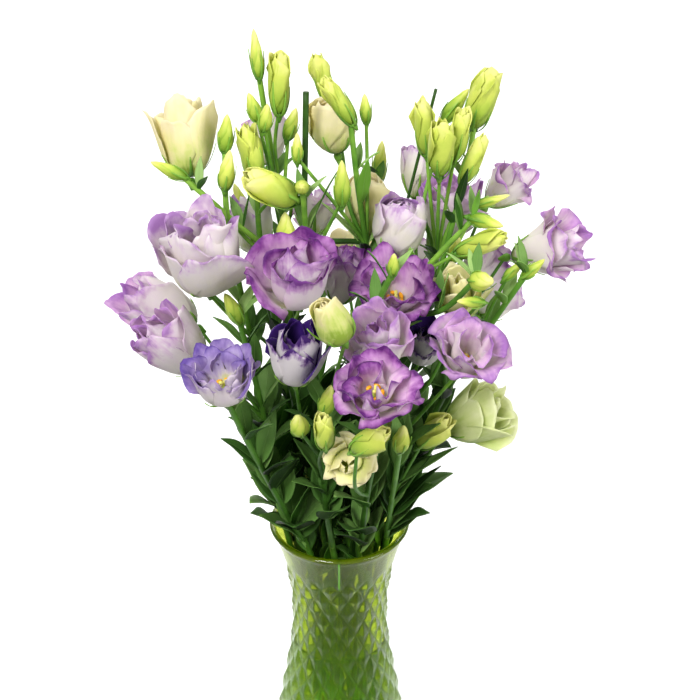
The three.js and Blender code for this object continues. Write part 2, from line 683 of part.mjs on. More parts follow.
// How far out the calyx points must lean, to pass the corolla's bulge with some room.
function calyxReach(flower) {
  const [whorl] = FORMS[flower.form];
  let lean = CALYX.leastLean;
  for (let v = whorl.tube; v < 1; v += 0.05) {
    const [r, z] = bezier(whorl.profile, v);
    const rise = z * flower.length - POLE[0][0] + GAP;
    const out = (r * flower.breadth) / 2 + CALYX.stand;
    if (z * flower.length < CALYX.length) lean = Math.max(lean, out / rise);
  }
  return lean * (CALYX.length - POLE[0][0] + GAP);
}

// Calyx: a five-pointed star under the corolla, its points standing a little off the petals.
function calyxGeometry(flower) {
  const reach = calyxReach(flower);
  const positions = [0, 0, CALYX.bottom, 0, 0, POLE[0][0] - GAP];
  for (let i = 0; i < CALYX.points; i += 1) {
    const valley = (i / CALYX.points) * 2 * Math.PI;
    const point = ((i + 0.5) / CALYX.points) * 2 * Math.PI;
    positions.push(CALYX.seat * Math.cos(valley), CALYX.seat * Math.sin(valley), CALYX.valley);
    positions.push(reach * Math.cos(point), reach * Math.sin(point), CALYX.length);
  }
  const index = [];
  for (let i = 0; i < CALYX.points; i += 1) {
    const valley = 2 + 2 * i;
    const next = 2 + ((2 * i + 2) % (2 * CALYX.points));
    index.push(0, valley + 1, valley, 0, next, valley + 1);
    index.push(1, valley, valley + 1, 1, valley + 1, next);
  }
  return indexed(positions, index);
}

// A bud: flat sides that swell low down and draw in to a long tip.
function budGeometry(bud) {
  return turned(BUD_OUTLINE.map(([r, z]) => [(r * bud.breadth) / 2, z * bud.length]), BUD_SIDES);
}

function placed(geometry, head) {
  return geometry.applyQuaternion(headTurn(head)).translate(...head.base.toArray());
}

// Leaves

// A leaf blade: an arc that leaves the stem steeply and bends out, folded a little along its rib.
function leafSurface(root, heading, rise, length, breadth) {
  const out = vec(Math.cos(heading), Math.sin(heading), 0);
  const side = vec(-Math.sin(heading), Math.cos(heading), 0);
  const [first, last] = rise.map(radians);
  return (u, v) => {
    const bend = last - first;
    const aside = (length * (Math.cos(first) - Math.cos(first + bend * v))) / bend;
    const up = (length * (Math.sin(first + bend * v) - Math.sin(first))) / bend;
    const half = (breadth / 2) * Math.sin(Math.PI * Math.min(1, Math.max(0, v)) ** 0.8);
    const fold = LEAF_FOLD * half * Math.abs(u);
    return root.clone().addScaledVector(out, aside).addScaledVector(side, u * half)
      .add(vec(0, 0, up + fold));
  };
}

// Places on a leaf that are looked at, to tell whether it is clear. Its root touches its stem.
const LEAF_SAMPLES = [-1, -0.5, 0, 0.5, 1].flatMap((u) =>
  [0.2, 0.3, 0.4, 0.5, 0.6, 0.7, 0.8, 0.9, 1].map((v) => [u, v]),
);

function innerRadius(z) {
  return vaseRadius(z) - VASE.wall;
}

function leafIsClear(surface, stem, bodies, taken) {
  for (const [u, v] of LEAF_SAMPLES) {
    const point = surface(u, v);
    const room = innerRadius(Math.min(point.z, VASE.height)) - LEAF_GAPS.glass;
    if (point.z < VASE.height + LEAF_GAPS.rim && Math.hypot(point.x, point.y) > room) return false;
    for (const body of bodies) {
      const own = body.strand.stem === stem && body.index >= 0;
      const keep = body.radius + (own ? LEAF_GAPS.stem : LEAF_GAPS.other);
      const line = body.to.clone().sub(body.from);
      const share = point.clone().sub(body.from).dot(line) / (line.lengthSq() + 1e-9);
      const close = body.from.clone().addScaledVector(line, Math.min(1, Math.max(0, share)));
      if (close.distanceTo(point) < keep) return false;
    }
    const near = (other) => other.stem !== stem && other.point.distanceTo(point) < LEAF_GAPS.leaf;
    if (taken.some(near)) return false;
  }
  return true;
}

// Where leaves grow: in crossed tiers up the stem, and singly at some of the forks.
function leafPlaces() {
  const places = [];
  strands.filter((strand) => !strand.parent).forEach((strand, number) => {
    const line = new Polyline([strand.foot, ...strand.points]);
    STEM_LEAVES.forEach((leaf, tier) => {
      const scatter = TIER_SCATTER * (draw(number + 40 * tier) - 0.5);
      const share = shareAtHeight(line, leaf.height + scatter);
      const root = line.getPoint(share);
      const first = Math.PI * (draw(number + 7) + tier / 2);
      for (let side = 0; side < leaf.sides; side += 1)
        places.push({ stem: strand.stem, root, heading: first + side * Math.PI, ...leaf });
    });
  });
  strands.filter((strand) => strand.parent).forEach((strand, number) => {
    if (draw(number + 700) > FORK_LEAF.chance) return;
    const root = strand.points[0].clone();
    const out = strand.points[1].clone().sub(root);
    const heading = Math.atan2(out.y, out.x) + (draw(number + 500) - 0.5);
    places.push({ stem: strand.stem, root, heading, ...FORK_LEAF });
  });
  return places;
}

function shareAtHeight(line, height) {
  let low = 0;
  let high = 1;
  for (let i = 0; i < 30; i += 1) {
    const middle = (low + high) / 2;
    if (line.getPoint(middle).z < height) low = middle;
    else high = middle;
  }
  return low;
}

// Gives each place the first size, turn and rise that keep its leaf clear, or leaves it bare.
function growLeaves() {
  const bodies = [...stretchesOf(strands), ...roomsOf(strands)];
  const taken = [];
  const leaves = [];
  for (const place of leafPlaces()) {
    const found = clearLeaf(place, bodies, taken);
    if (!found) continue;
    leaves.push({ stem: place.stem, surface: found, rows: place.rows });
    for (const [u, v] of LEAF_SAMPLES) taken.push({ stem: place.stem, point: found(u, v) });
  }
  return leaves;
}

function clearLeaf(place, bodies, taken) {
  for (const size of LEAF_SIZES)
    for (let turn = 0; turn < LEAF_TURNS; turn += 1)
      for (const rise of LEAF_RISES) {
        const swing = (turn % 2 ? 1 : -1) * Math.ceil(turn / 2) * (Math.PI / LEAF_TURNS);
        const heading = place.heading + swing;
        const surface = leafSurface(place.root, heading, rise, place.length * size, place.breadth * size);
        if (leafIsClear(surface, place.stem, bodies, taken)) return surface;
      }
  return null;
}

// Vase and water

// The vase's outer radius at a height: a belly, a waist and a flared rim.
function vaseRadius(z) {
  const { bellyRadius, bellyHeight, waistRadius, waistHeight } = VASE;
  if (z < bellyHeight) {
    const share = 1 - z / bellyHeight;
    return bellyRadius - (bellyRadius - VASE.footRadius) * share * share;
  }
  if (z < waistHeight) {
    const share = (waistHeight - z) / (waistHeight - bellyHeight);
    return waistRadius + (bellyRadius - waistRadius) * share * share * (3 - 2 * share);
  }
  const share = (z - waistHeight) / (VASE.height - waistHeight);
  return waistRadius + (VASE.rimRadius - waistRadius) * share ** VASE.rimFlare;
}

// One closed skin of rings: the foot, the diamond net, the collar, the lip, and the inner wall.
// In the net every other point of a ring is raised, the odd ones and the even ones by turns.
function vaseGeometry() {
  const columns = 2 * NET.diamonds;
  const footTop = NET.bottom / 3;
  const rings = [[VASE.footRadius, 0, 0], [vaseRadius(footTop), footTop, 0]];
  for (let row = 0; row <= NET.rows; row += 1) {
    const z = NET.bottom + ((NET.top - NET.bottom) * row) / NET.rows;
    const ends = row === 0 || row === NET.rows;
    rings.push([vaseRadius(z) - NET.relief, z, ends ? 0 : row % 2 === 0 ? 1 : 2]);
  }
  const lip = VASE.height - VASE.lipRound;
  rings.push([vaseRadius(VASE.height - VASE.lipHeight), VASE.height - VASE.lipHeight, 0]);
  rings.push([vaseRadius(lip) + VASE.lipRound / 2, lip, 0]);
  rings.push([VASE.rimRadius - VASE.wall / 2, VASE.height, 0]);
  for (const z of [lip, ...VASE.innerHeights, VASE.floor]) rings.push([innerRadius(z), z, 0]);
  const positions = [];
  rings.forEach(([radius, z, raised]) => {
    for (let column = 0; column < columns; column += 1) {
      const lifted = raised && (column + raised) % 2 === 0 ? NET.relief * 2 : 0;
      const angle = (column / columns) * 2 * Math.PI;
      positions.push((radius + lifted) * Math.cos(angle), (radius + lifted) * Math.sin(angle), z);
    }
  });
  const centres = [positions.length / 3, positions.length / 3 + 1];
  positions.push(0, 0, 0, 0, 0, VASE.floor);
  const index = [];
  for (let column = 0; column < columns; column += 1) {
    const next = (column + 1) % columns;
    for (let ring = 0; ring + 1 < rings.length; ring += 1) {
      const [a, b] = [ring * columns + column, ring * columns + next];
      const [c, d] = [a + columns, b + columns];
      const raised = rings[ring][2] || (rings[ring + 1][2] ? 3 - rings[ring + 1][2] : 0);
      if (raised && (column + raised) % 2 === 0) index.push(a, b, d, a, d, c);
      else index.push(a, b, c, b, d, c);
    }
    const top = (rings.length - 1) * columns;
    index.push(centres[0], next, column, centres[1], top + column, top + next);
  }
  return indexed(positions, index);
}

function stemTube(strand, extra) {
  if (strand.parent) return tube(strand.points, strand.radius, SHOOT.sides);
  return tube([strand.foot, ...strand.points], strand.radius + extra, STEM.sides);
}

// The water: the inside of the vase up to its level, with a plain hole for each stem.
function waterSolid() {
  const bottom = VASE.floor + GAP;
  const heights = [bottom, ...VASE.innerHeights.filter((z) => z < WATER.level).reverse(), WATER.level];
  const wall = heights.map((z) => [innerRadius(z) - WATER.wallGap, z]);
  const body = turned([[0, bottom], ...wall, [0, WATER.level]], WATER.sides);
  const stems = strands.filter((strand) => !strand.parent);
  const holes = stems.map((strand) => solidOf(stemTube(strand, STEM.waterGap)));
  return whole(holes.reduce((water, hole) => water.subtract(hole), solidOf(body)), SMOOTHING.water);
}

// The whole bunch

const group = new THREE.Group();

function addMesh(name, geometry, colour, roughness, settings = {}) {
  const material = new THREE.MeshStandardMaterial({ color: colour, roughness, metalness: 0, ...settings });
  const mesh = new THREE.Mesh(geometry, material);
  mesh.name = name;
  group.add(mesh);
  return mesh;
}

addMesh("vase", vaseGeometry(), 0x6fae3a, 0.12, { transparent: true, opacity: 0.6 });
addMesh("water", geometryOf(waterSolid()), 0xcfe6d8, 0.05, { transparent: true, opacity: 0.4 });

for (const flower of flowers) {
  const mesh = addMesh(`corolla_${flower.name}`, geometryOf(corollaSolid(flower)), COLOURS[flower.hue], 0.6);
  mesh.position.copy(flower.base);
  mesh.quaternion.copy(headTurn(flower));
  if (!HEARTED.includes(flower.name)) continue;
  const heart = addMesh(`heart_${flower.name}`, geometryOf(heartSolid()), 0xd9b01e, 0.7);
  heart.position.copy(flower.base).addScaledVector(flower.axis, HEART.seat[flower.form] + GAP);
  heart.quaternion.copy(headTurn(flower));
}

const leaves = growLeaves();
for (const stem of Object.keys(STEMS)) {
  const own = strands.filter((strand) => strand.stem === stem);
  const parts = own.map((strand) => stemTube(strand, 0));
  for (const { head } of own) {
    if (head.form === "bud") parts.push(placed(budGeometry(head), head));
    else parts.push(placed(calyxGeometry(head), head));
  }
  for (const leaf of leaves.filter((grown) => grown.stem === stem))
    parts.push(leafGeometry(leaf.surface, leaf.rows));
  addMesh(`stem_${stem}`, geometryOf(whole(join(parts.map(solidOf)), SMOOTHING.stem)), 0x4c8a2e, 0.55);
}

export default group;
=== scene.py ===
"""A loose bunch of cut lisianthus in a green pressed-glass vase, dressed round its fixed frame.

Shapes are worked out in millimetres, with +Z up and the origin at the centre of the vase's foot,
and are turned into metres when their meshes are made.
"""
import functools
import json
import math
from dataclasses import dataclass
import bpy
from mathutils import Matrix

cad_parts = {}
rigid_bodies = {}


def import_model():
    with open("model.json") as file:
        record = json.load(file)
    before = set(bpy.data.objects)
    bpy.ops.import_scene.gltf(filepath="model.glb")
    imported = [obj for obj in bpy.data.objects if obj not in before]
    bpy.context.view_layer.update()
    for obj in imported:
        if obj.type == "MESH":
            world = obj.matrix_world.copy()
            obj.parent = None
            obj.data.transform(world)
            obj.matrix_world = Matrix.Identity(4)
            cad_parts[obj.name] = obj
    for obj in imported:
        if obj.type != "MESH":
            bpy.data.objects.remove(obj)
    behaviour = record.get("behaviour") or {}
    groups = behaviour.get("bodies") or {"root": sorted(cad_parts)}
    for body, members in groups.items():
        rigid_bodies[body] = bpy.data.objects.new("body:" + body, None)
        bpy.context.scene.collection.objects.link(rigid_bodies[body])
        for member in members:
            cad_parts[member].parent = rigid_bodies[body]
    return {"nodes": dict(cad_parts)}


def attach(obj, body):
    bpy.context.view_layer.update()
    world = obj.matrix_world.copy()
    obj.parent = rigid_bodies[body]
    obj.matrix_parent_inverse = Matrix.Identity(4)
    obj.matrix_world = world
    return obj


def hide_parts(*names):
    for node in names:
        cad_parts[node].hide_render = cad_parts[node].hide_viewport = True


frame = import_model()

from types import SimpleNamespace

import bpy
import numpy as np
from bpy.props import FloatProperty, FloatVectorProperty, IntProperty, PointerProperty
from mathutils import Vector

bl_info = {
    "name": "Lisianthus Bunch",
    "version": (1, 0, 0),
    "blender": (4, 5, 0),
    "location": "View3D > Sidebar > Bunch",
    "description": "Makes a loose bunch of lisianthus in a pressed-glass vase",
    "category": "Add Mesh",
}

MM = 0.001
UP = np.array([0.0, 0.0, 1.0])

# Driving sizes, in millimetres, the same as the frame's

VASE = dict(height=250, foot=43, belly=52, belly_height=32, waist=36.6, waist_height=165, rim=52,
            flare=2.1, lip_height=6, wall=3.5, floor=9)
# The net of diamonds: how many round the vase, how many half ones up it, and how proud they stand
NET = dict(diamonds=18, rows=15, bottom=34, top=212, relief=1)
# The seams of the mould on the collar
SEAM = dict(radius=0.85, bottom=216, top=246)
# The round of the foot's edge, how far the lip swells past the wall, and the hollow's round corner
FOOT_EDGE = dict(round=1.2, height=2.5)
LIP = dict(out=0.7, up=0.4)
CORNER = 5
# The water's skin lies just inside the glass, as light meets no air between the two
WATER = dict(level=140, overlap=0.12, meniscus=1.2)
# The stems cross in the vase: how far their feet are turned from their places at the lip
SPIRAL = dict(turn=math.radians(100), spread=0.95, lip_height=235, foot_height=10)
# Main stems and side shoots, how far their curves reach from their ends, as a share of the span,
# where a stalk stops along its head's axis, and how far below a head its shoot leaves the stem
STEM = dict(radius=2.4, points=8)
SHOOT = dict(radius=1.45, points=4)
SWEEP_REACH = 0.4
STALK_END = dict(flower=-4.5, bud=1)
FORK = dict(rise=26, per_aside=0.55)
# How the stems are bent clear of each other: the least gap, in how many rounds, how strongly they
# are evened out, how much of a push is taken and the longest push, and how many stretches of a
# stalk may come near its own head
SETTLE = dict(clearance=3, rounds=160, evening=0.1, pace=0.6, longest=4, arriving=3)
# A stalk: its rings for each of its points, how far it thins towards its head, and for a shoot how
# far it swells at its foot and how fast that falls
STALK = dict(rings=7, thins=0.22, swells=0.35, falls=30)
# A flower's sepals: how many and how long, their least lean, how far they stand off the corolla's
# side, and the place on its axis, with a gap, that they lean out from
CALYX = dict(points=5, length=13, least_lean=0.8, stand=1.8, pole=-2.3, gap=0.3)
# How far up a flower's axis its heart sits. The other forms are closed over theirs
HEART_SEAT = dict(open=3.1, cup=1.5)

# The photograph's camera: where it stood, how far it looked down, its focal length and the
# middle of its frame in pixels
CAMERA = dict(eye=(8, -800, 831), look_down=28.6, focal=1300, centre=350)

# Where each stem passes the lip of the vase
STEMS = {
    "far_left": (-34, 4), "left": (-26, -14), "left_low": (-37, -11), "left_front": (-20, -30),
    "centre_left": (-9, -23), "top_left": (-18, 8), "top": (-4, 13), "centre": (-3, -9),
    "centre_front": (8, -20), "front": (15, -34), "centre_right": (8, 2), "right_front": (23, -20),
    "right": (21, -5), "far_right": (35, -4), "top_right": (18, 13), "right_back": (31, 14),
    "right_low": (34, -18), "low_front": (-2, -37), "back_left": (-15, 26), "back_right": (9, 31),
}

# Each corolla: its name and stem, the pixel of the photograph at its middle, its depth in front of
# the vase's axis, the way it faces (right, away, up), its breadth, length, form and colour
FLOWERS = [
    ("cream_cup_left", "far_left", (185, 143), 0, (-0.15, 0.35, 1), 44, 44, "cup", "cream"),
    ("white_lilac_left", "left", (204, 260), 66, (-0.05, -0.25, 1), 60, 47, "cup", "blush"),
    ("lilac_far_left", "left_low", (164, 309), 30, (-0.75, -0.1, 0.55), 44, 48, "cup", "lilac"),
    ("lilac_low_left", "left_low", (174, 345), 84, (-0.6, -0.35, 0.75), 46, 46, "cup", "lilac"),
    ("blue_small_left", "left_front", (223, 380), 124, (-0.05, -0.35, 0.95), 44, 32, "cup", "blue"),
    ("purple_centre_left", "centre_left", (295, 278), 82, (-0.1, -0.3, 0.9), 52, 41, "cup", "purple"),
    ("violet_cup", "centre_left", (296, 358), 114, (0.05, -0.35, 1), 40, 40, "cup", "violet"),
    ("cream_bud_front", "centre", (332, 322), 138, (-0.35, -0.4, 0.9), 26, 34, "goblet", "cream"),
    ("purple_back_left", "centre", (344, 278), 22, (0.2, 0.1, 1), 36, 36, "cup", "purple"),
    ("purple_centre", "centre_front", (396, 294), 56, (0.1, -0.35, 0.9), 56, 32, "open", "purple"),
    ("lilac_white_centre", "centre_front", (378, 344), 102, (-0.1, -0.35, 0.95), 40, 36, "cup", "lilac"),
    ("purple_open_front", "front", (375, 391), 150, (0.05, -0.5, 0.9), 58, 28, "open", "purple"),
    ("cream_goblet_centre", "centre_right", (367, 208), -20, (0.08, -0.1, 1), 31, 44, "goblet", "cream"),
    ("blush_goblet", "centre_right", (399, 229), 14, (0.12, -0.2, 1), 34, 42, "goblet", "blush"),
    ("violet_right", "right_front", (424, 345), 36, (0.1, -0.5, 0.85), 34, 34, "cup", "violet"),
    ("lilac_right", "right_front", (466, 354), 92, (0.2, -0.4, 0.9), 53, 38, "open", "lilac"),
    ("cream_right", "right", (461, 298), 42, (-0.2, -0.35, 0.9), 34, 32, "cup", "cream"),
    ("purple_behind_right", "right", (481, 268), -8, (0.4, 0.5, 0.7), 36, 34, "cup", "purple"),
    ("lilac_far_right", "far_right", (546, 250), 20, (0.85, -0.25, 0.3), 48, 48, "open", "lilac"),
    ("lilac_behind_right", "far_right", (492, 300), -46, (0.6, 0.7, 0.4), 38, 34, "cup", "lilac"),
    ("blush_slim_right", "top_right", (414, 173), -54, (-0.05, 0.1, 1), 18, 36, "goblet", "blush"),
    ("lilac_high_right", "right_back", (506, 188), -48, (0.6, 0.1, 0.6), 40, 36, "wide", "lilac"),
    ("lilac_high_centre", "right_back", (450, 212), -32, (0.05, -0.1, 1), 48, 36, "cup", "lilac"),
    ("green_white_low", "right_low", (473, 417), 60, (0.7, -0.2, 0.6), 42, 42, "cup", "greenish"),
    ("white_low", "low_front", (350, 459), 104, (-0.15, -0.9, 0.1), 30, 22, "wide", "cream"),
    ("cream_goblet_high", "top", (333, 127), -14, (-0.15, -0.1, 1), 30, 36, "goblet", "cream"),
    ("lilac_behind_top", "top_left", (266, 141), -46, (-0.1, 0.4, 1), 26, 32, "goblet", "lilac"),
    ("blush_behind_left", "back_left", (252, 228), -10, (-0.1, 0.3, 0.9), 34, 34, "cup", "blush"),
    ("lilac_back_centre", "back_left", (314, 216), -62, (0, 0.8, 0.7), 42, 34, "wide", "lilac"),
    ("purple_back_low", "back_left", (272, 262), -86, (-0.4, 0.9, 0.3), 44, 32, "wide", "purple"),
    ("cream_back_low", "back_right", (350, 262), -104, (0.1, 0.9, 0.35), 42, 34, "cup", "cream"),
    ("lilac_back_right", "back_right", (420, 268), -92, (0.5, 0.9, 0.4), 46, 32, "wide", "lilac"),
]

# Each bud: its stem, the pixel at its middle, its depth, the way it points, its breadth and length
BUDS = [
    ("far_left", (167, 169), 36, (-0.8, -0.2, 0.5), 8, 23),
    ("far_left", (155, 241), 4, (-0.5, -0.1, 1), 6, 17),
    ("left", (226, 131), 16, (0.12, 0, 1), 10, 23),
    ("left", (227, 168), 40, (0.15, 0, 1), 10, 24),
    ("left_low", (232, 307), 66, (-0.35, -0.3, 1), 10, 25),
    ("centre_left", (251, 152), 14, (-0.15, -0.1, 1), 14, 36),
    ("centre_left", (270, 187), 40, (-0.8, -0.4, 0.6), 20, 36),
    ("centre_left", (286, 229), 30, (0, -0.1, 1), 13, 24),
    ("top_left", (256, 51), 0, (-0.08, 0, 1), 8, 29),
    ("top_left", (279, 82), 0, (0.02, 0, 1), 13, 36),
    ("top_left", (253, 106), 4, (-0.3, 0, 1), 9, 18),
    ("top_left", (266, 116), 22, (0.2, -0.1, 1), 9, 17),
    ("top_left", (292, 122), 0, (0.3, 0, 1), 9, 20),
    ("top", (322, 78), -44, (-0.3, 0, 1), 11, 32),
    ("top", (338, 100), 14, (-0.6, -0.1, 1), 11, 32),
    ("top", (365, 107), -4, (-0.1, 0, 1), 7, 18),
    ("top", (297, 146), 22, (0, 0, 1), 7, 18),
    ("centre", (302, 187), 46, (0, -0.9, 0.4), 9, 11),
    ("centre", (342, 181), 52, (0, -0.1, 1), 10, 28),
    ("centre_right", (393, 263), 98, (0, -0.2, 1), 7, 15),
    ("right", (488, 222), 34, (0.95, -0.2, -0.15), 9, 21),
    ("right", (482, 244), 46, (0.8, -0.4, 0.5), 13, 33),
    ("right", (456, 247), 20, (0.1, -0.3, 1), 9, 20),
    ("right_front", (483, 281), 88, (0.5, -0.7, 0.3), 12, 17),
    ("right_front", (469, 302), 88, (-0.8, -0.4, 0.25), 7, 18),
    ("far_right", (516, 268), 56, (0.6, 0, 0.7), 6, 18),
    ("far_right", (535, 268), 62, (0.6, -0.1, 0.6), 7, 17),
    ("top_right", (424, 126), -4, (-0.12, 0, 1), 12, 34),
    ("top_right", (441, 147), 22, (0, -0.2, 1), 16, 36),
    ("top_right", (459, 134), 10, (0.15, 0, 1), 12, 32),
    ("top_right", (482, 97), -16, (0.2, -0.1, 1), 18, 38),
    ("top_right", (457, 104), -30, (0.6, 0, 0.8), 10, 26),
    ("right_back", (474, 158), 6, (0.4, 0, 1), 12, 32),
    ("right_back", (494, 200), 20, (0.9, -0.2, 0.4), 6, 22),
    ("right_low", (434, 431), 84, (0.55, -0.2, 0.8), 15, 28),
    ("right_low", (402, 437), 108, (0.1, -0.3, 1), 11, 22),
    ("low_front", (299, 424), 112, (-0.1, -0.4, 1), 12, 17),
    ("low_front", (324, 431), 124, (-0.05, -0.3, 1), 12, 27),
    ("low_front", (328, 398), 100, (0.2, -0.2, 1), 10, 23),
    ("front", (371, 440), 138, (0.65, -0.4, 0.75), 15, 29),
    ("front", (388, 428), 92, (0.4, -0.2, 1), 9, 22),
    ("back_left", (240, 200), -74, (-0.4, 0.5, 1), 10, 26),
    ("back_right", (380, 160), -72, (0.1, 0.4, 1), 10, 28),
    ("back_right", (455, 216), -112, (0.5, 0.6, 0.7), 10, 26),
]

# The room that each form keeps clear, as shares of its radius and length: a body along its axis
# (from, to, radius), and for a wide flower six more round its mouth, each from a (radius, height)
ROOM = {
    "bud": dict(core=(0.3, 0.6, 0.95)),
    "goblet": dict(core=(0.42, 0.62, 1)),
    "cup": dict(core=(0.3, 0.6, 0.6), rim=((0.5, 0.34), (0.72, 0.82)), thick=0.36),
    "wide": dict(core=(0.25, 0.6, 0.5), rim=((0.45, 0.36), (0.78, 0.7)), thick=0.3),
    "open": dict(core=(0.25, 0.6, 0.5), rim=((0.45, 0.36), (0.78, 0.7)), thick=0.3),
}
ROOM_AROUND = 6
CALYX_ROOM = dict(start=-2, radius=0.6)

# Leaves on the bare stem, in pairs and then singly, and the small leaves at some of the forks
STEM_LEAVES = [
    dict(height=242, length=44, breadth=26, sides=1),
    dict(height=270, length=54, breadth=28, sides=2),
    dict(height=314, length=47, breadth=23, sides=2),
    dict(height=358, length=40, breadth=17, sides=1),
]
FORK_LEAF = dict(length=30, breadth=9, chance=0.16)
# The smaller leaves between them, and the narrow bracts in pairs at every fork
MORE_LEAVES = [
    dict(height=height, length=length, breadth=breadth, sides=2)
    for height, length, breadth in (
        (202, 44, 22), (216, 42, 22), (230, 42, 24), (254, 44, 25), (284, 44, 24), (304, 42, 21),
        (332, 40, 18), (346, 38, 16), (376, 36, 14), (404, 32, 11), (432, 30, 9), (462, 28, 8),
        (494, 26, 7), (526, 22, 6),
    )
]
BRACT = dict(length=27, breadth=7.5)
# Large leaves that the photograph shows: the stem and height that each grows from, the pixel and
# depth of its tip, and its breadth; and the bends that are tried for them
AIMED_LEAVES = [
    ("low_front", 226, (303, 488), 46, 19),
    ("front", 224, (363, 522), 40, 21),
    ("right_front", 250, (404, 470), 44, 19),
    ("left_front", 250, (262, 496), 36, 12),
    ("left_low", 262, (254, 434), 26, 20),
    ("centre_left", 262, (286, 456), 34, 19),
    ("right_low", 286, (442, 465), 44, 11),
    ("right_low", 330, (459, 446), 60, 9),
    ("right", 238, (393, 500), 30, 19),
    ("left_front", 300, (247, 430), 60, 16),
    ("centre_front", 268, (336, 470), 46, 18),
    ("top", 505, (330, 150), 8, 9),
    ("centre", 486, (338, 168), 34, 9),
    ("top", 470, (318, 200), -4, 10),
    ("right_back", 500, (489, 158), 8, 7),
]
AIMED_BENDS = (9, 3, 16)
# How far from its root a leaf's furthest point can be, as a share of its length
LEAF_REACH = 1.3
# Two shoots that were cut off: the pixels of the photograph at their bend and at their cut end
STUBS = [
    dict(stem="top", bottom=(304, 232), top=(306, 92), depth=10, radius=2.0),
    dict(stem="centre_right", bottom=(408, 198), top=(436, 89), depth=-20, radius=1.1),
]
# How a leaf's height is scattered, and the turns, sizes and rises that are tried for it: a rise
# says how many degrees it leans out at its root and at its tip
TIER_SCATTER = 14
LEAF_TURNS = 8
LEAF_SIZES = (1, 0.8, 0.62)
LEAF_RISES = ((17, 30), (26, 42), (36, 66))
MORE_RISES = ((9, 15), (13, 27), (22, 40), (34, 60))
# Where a leaf is tested, across and along it, and the least gap to what is near. The leaves that
# are added here may come nearer to other leaves and stems
LEAF_SPOTS = ((-1, -0.5, 0, 0.5, 1), np.arange(2, 11) / 10)
LEAF_GAPS = dict(leaf=5, stem=0.5, other=2, glass=2.5, rim=6)
MORE_GAPS = dict(leaf=3.2, stem=0.5, other=0.9)
# How far a leaf's sides are lifted, as a share of its half breadth, and its slow wave and the groove
# along its rib, as shares of its breadth
LEAF_FOLD = 0.22
LEAF_WAVE = dict(height=0.05, along=9)
LEAF_GROOVE = dict(depth=0.02, width=0.1)
# Leaves are paler by a share from one height up to the other
PALER_UP = dict(share=0.42, heights=(330, 480))


# Small helpers

def draw(seed):
    """A steady draw from 0 to 1 for a number: the fraction that is left of a large sine of it."""
    wave = np.sin(np.asarray(seed, float) * 127.1 + 311.7) * 43758.5453
    return wave - np.floor(wave)


def unit(vectors):
    """Vectors divided by their own lengths."""
    vectors = np.asarray(vectors, float)
    return vectors / np.maximum(np.linalg.norm(vectors, axis=-1, keepdims=True), 1e-12)


def bezier(corners, t):
    """A cubic Bezier curve: four corners weighted by (1-t)^3, 3(1-t)^2 t, 3(1-t)t^2 and t^3."""
    t = np.asarray(t, float)[..., None]
    weights = np.concatenate([(1 - t) ** 3, 3 * (1 - t) ** 2 * t, 3 * (1 - t) * t * t, t ** 3], -1)
    return weights @ np.asarray(corners, float)


def smooth_step(low, high, x):
    """0 below low and 1 above high, with 3s^2 - 2s^3 between them."""
    s = np.clip((np.asarray(x, float) - low) / (high - low), 0, 1)
    return s * s * (3 - 2 * s)


def around(radius, angle, height):
    """Points at a radius from the +Z axis, at an angle round it and at a height, over whole arrays."""
    return np.stack(np.broadcast_arrays(radius * np.cos(angle), radius * np.sin(angle), height), -1)


def whole_turn(count):
    """Angles at even steps, once round."""
    return np.arange(count) / count * 2 * math.pi


def grid(columns, rows, low=-1.0, high=1.0, bottom=0.0, top=1.0):
    """Two arrays of rows by columns: how far across (low to high) and how far along."""
    return np.meshgrid(np.linspace(low, high, columns), np.linspace(bottom, top, rows))


def linear(code):
    """An sRGB hex colour as linear red, green, blue: v/12.92, or ((v+0.055)/1.055)^2.4 over 0.04045."""
    parts = [int(code[i:i + 2], 16) / 255 for i in (1, 3, 5)]
    return tuple(v / 12.92 if v <= 0.04045 else ((v + 0.055) / 1.055) ** 2.4 for v in parts)


def opaque(code):
    """An sRGB hex colour as linear red, green and blue with a full alpha."""
    return (*linear(code), 1)


# Where things stand: the same rules as the frame's

@dataclass
class Head:
    """A flower or a bud: where its base is, the way it faces, its size, form and colour."""

    stem: str
    base: np.ndarray
    axis: np.ndarray
    breadth: float
    length: float
    form: str
    seed: int
    name: str = ""
    hue: str = ""

    @property
    def end(self):
        """The point where its stalk stops, a little inside the calyx or the bud."""
        kind = "bud" if self.form == "bud" else "flower"
        return self.base + self.axis * STALK_END[kind]

    @functools.cached_property
    def turn(self):
        """The matrix that stands +Z along the axis by the shortest way, after a drawn roll about +Z."""
        x, y, c = self.axis
        cross = np.array([[0, 0, x], [0, 0, y], [-x, -y, 0]])
        stand = np.eye(3) + cross + cross @ cross / (1 + c)
        roll = float(draw(self.seed)) * 2 * math.pi
        cos, sin = math.cos(roll), math.sin(roll)
        return stand @ np.array([[cos, -sin, 0], [sin, cos, 0], [0, 0, 1]])

    def place(self, points):
        """Points of the head's own frame, set where the head is."""
        return np.asarray(points) @ self.turn.T + self.base


@dataclass
class Strand:
    """A main stem or a side shoot: its points, and the head that it carries."""

    stem: str
    head: Head
    points: np.ndarray
    radius: float
    foot: np.ndarray = None
    parent: int = -1
    fork: int = 0


def seen(pixel, depth):
    """The point at a depth on the ray through a pixel of the photograph."""
    down = math.radians(CAMERA["look_down"])
    right = (pixel[0] - CAMERA["centre"]) / CAMERA["focal"]
    rise = (CAMERA["centre"] - pixel[1]) / CAMERA["focal"]
    ray = np.array([right, math.cos(down) + rise * math.sin(down), rise * math.cos(down) - math.sin(down)])
    eye = np.array(CAMERA["eye"], float)
    return eye + ray * (-depth - eye[1]) / ray[1]


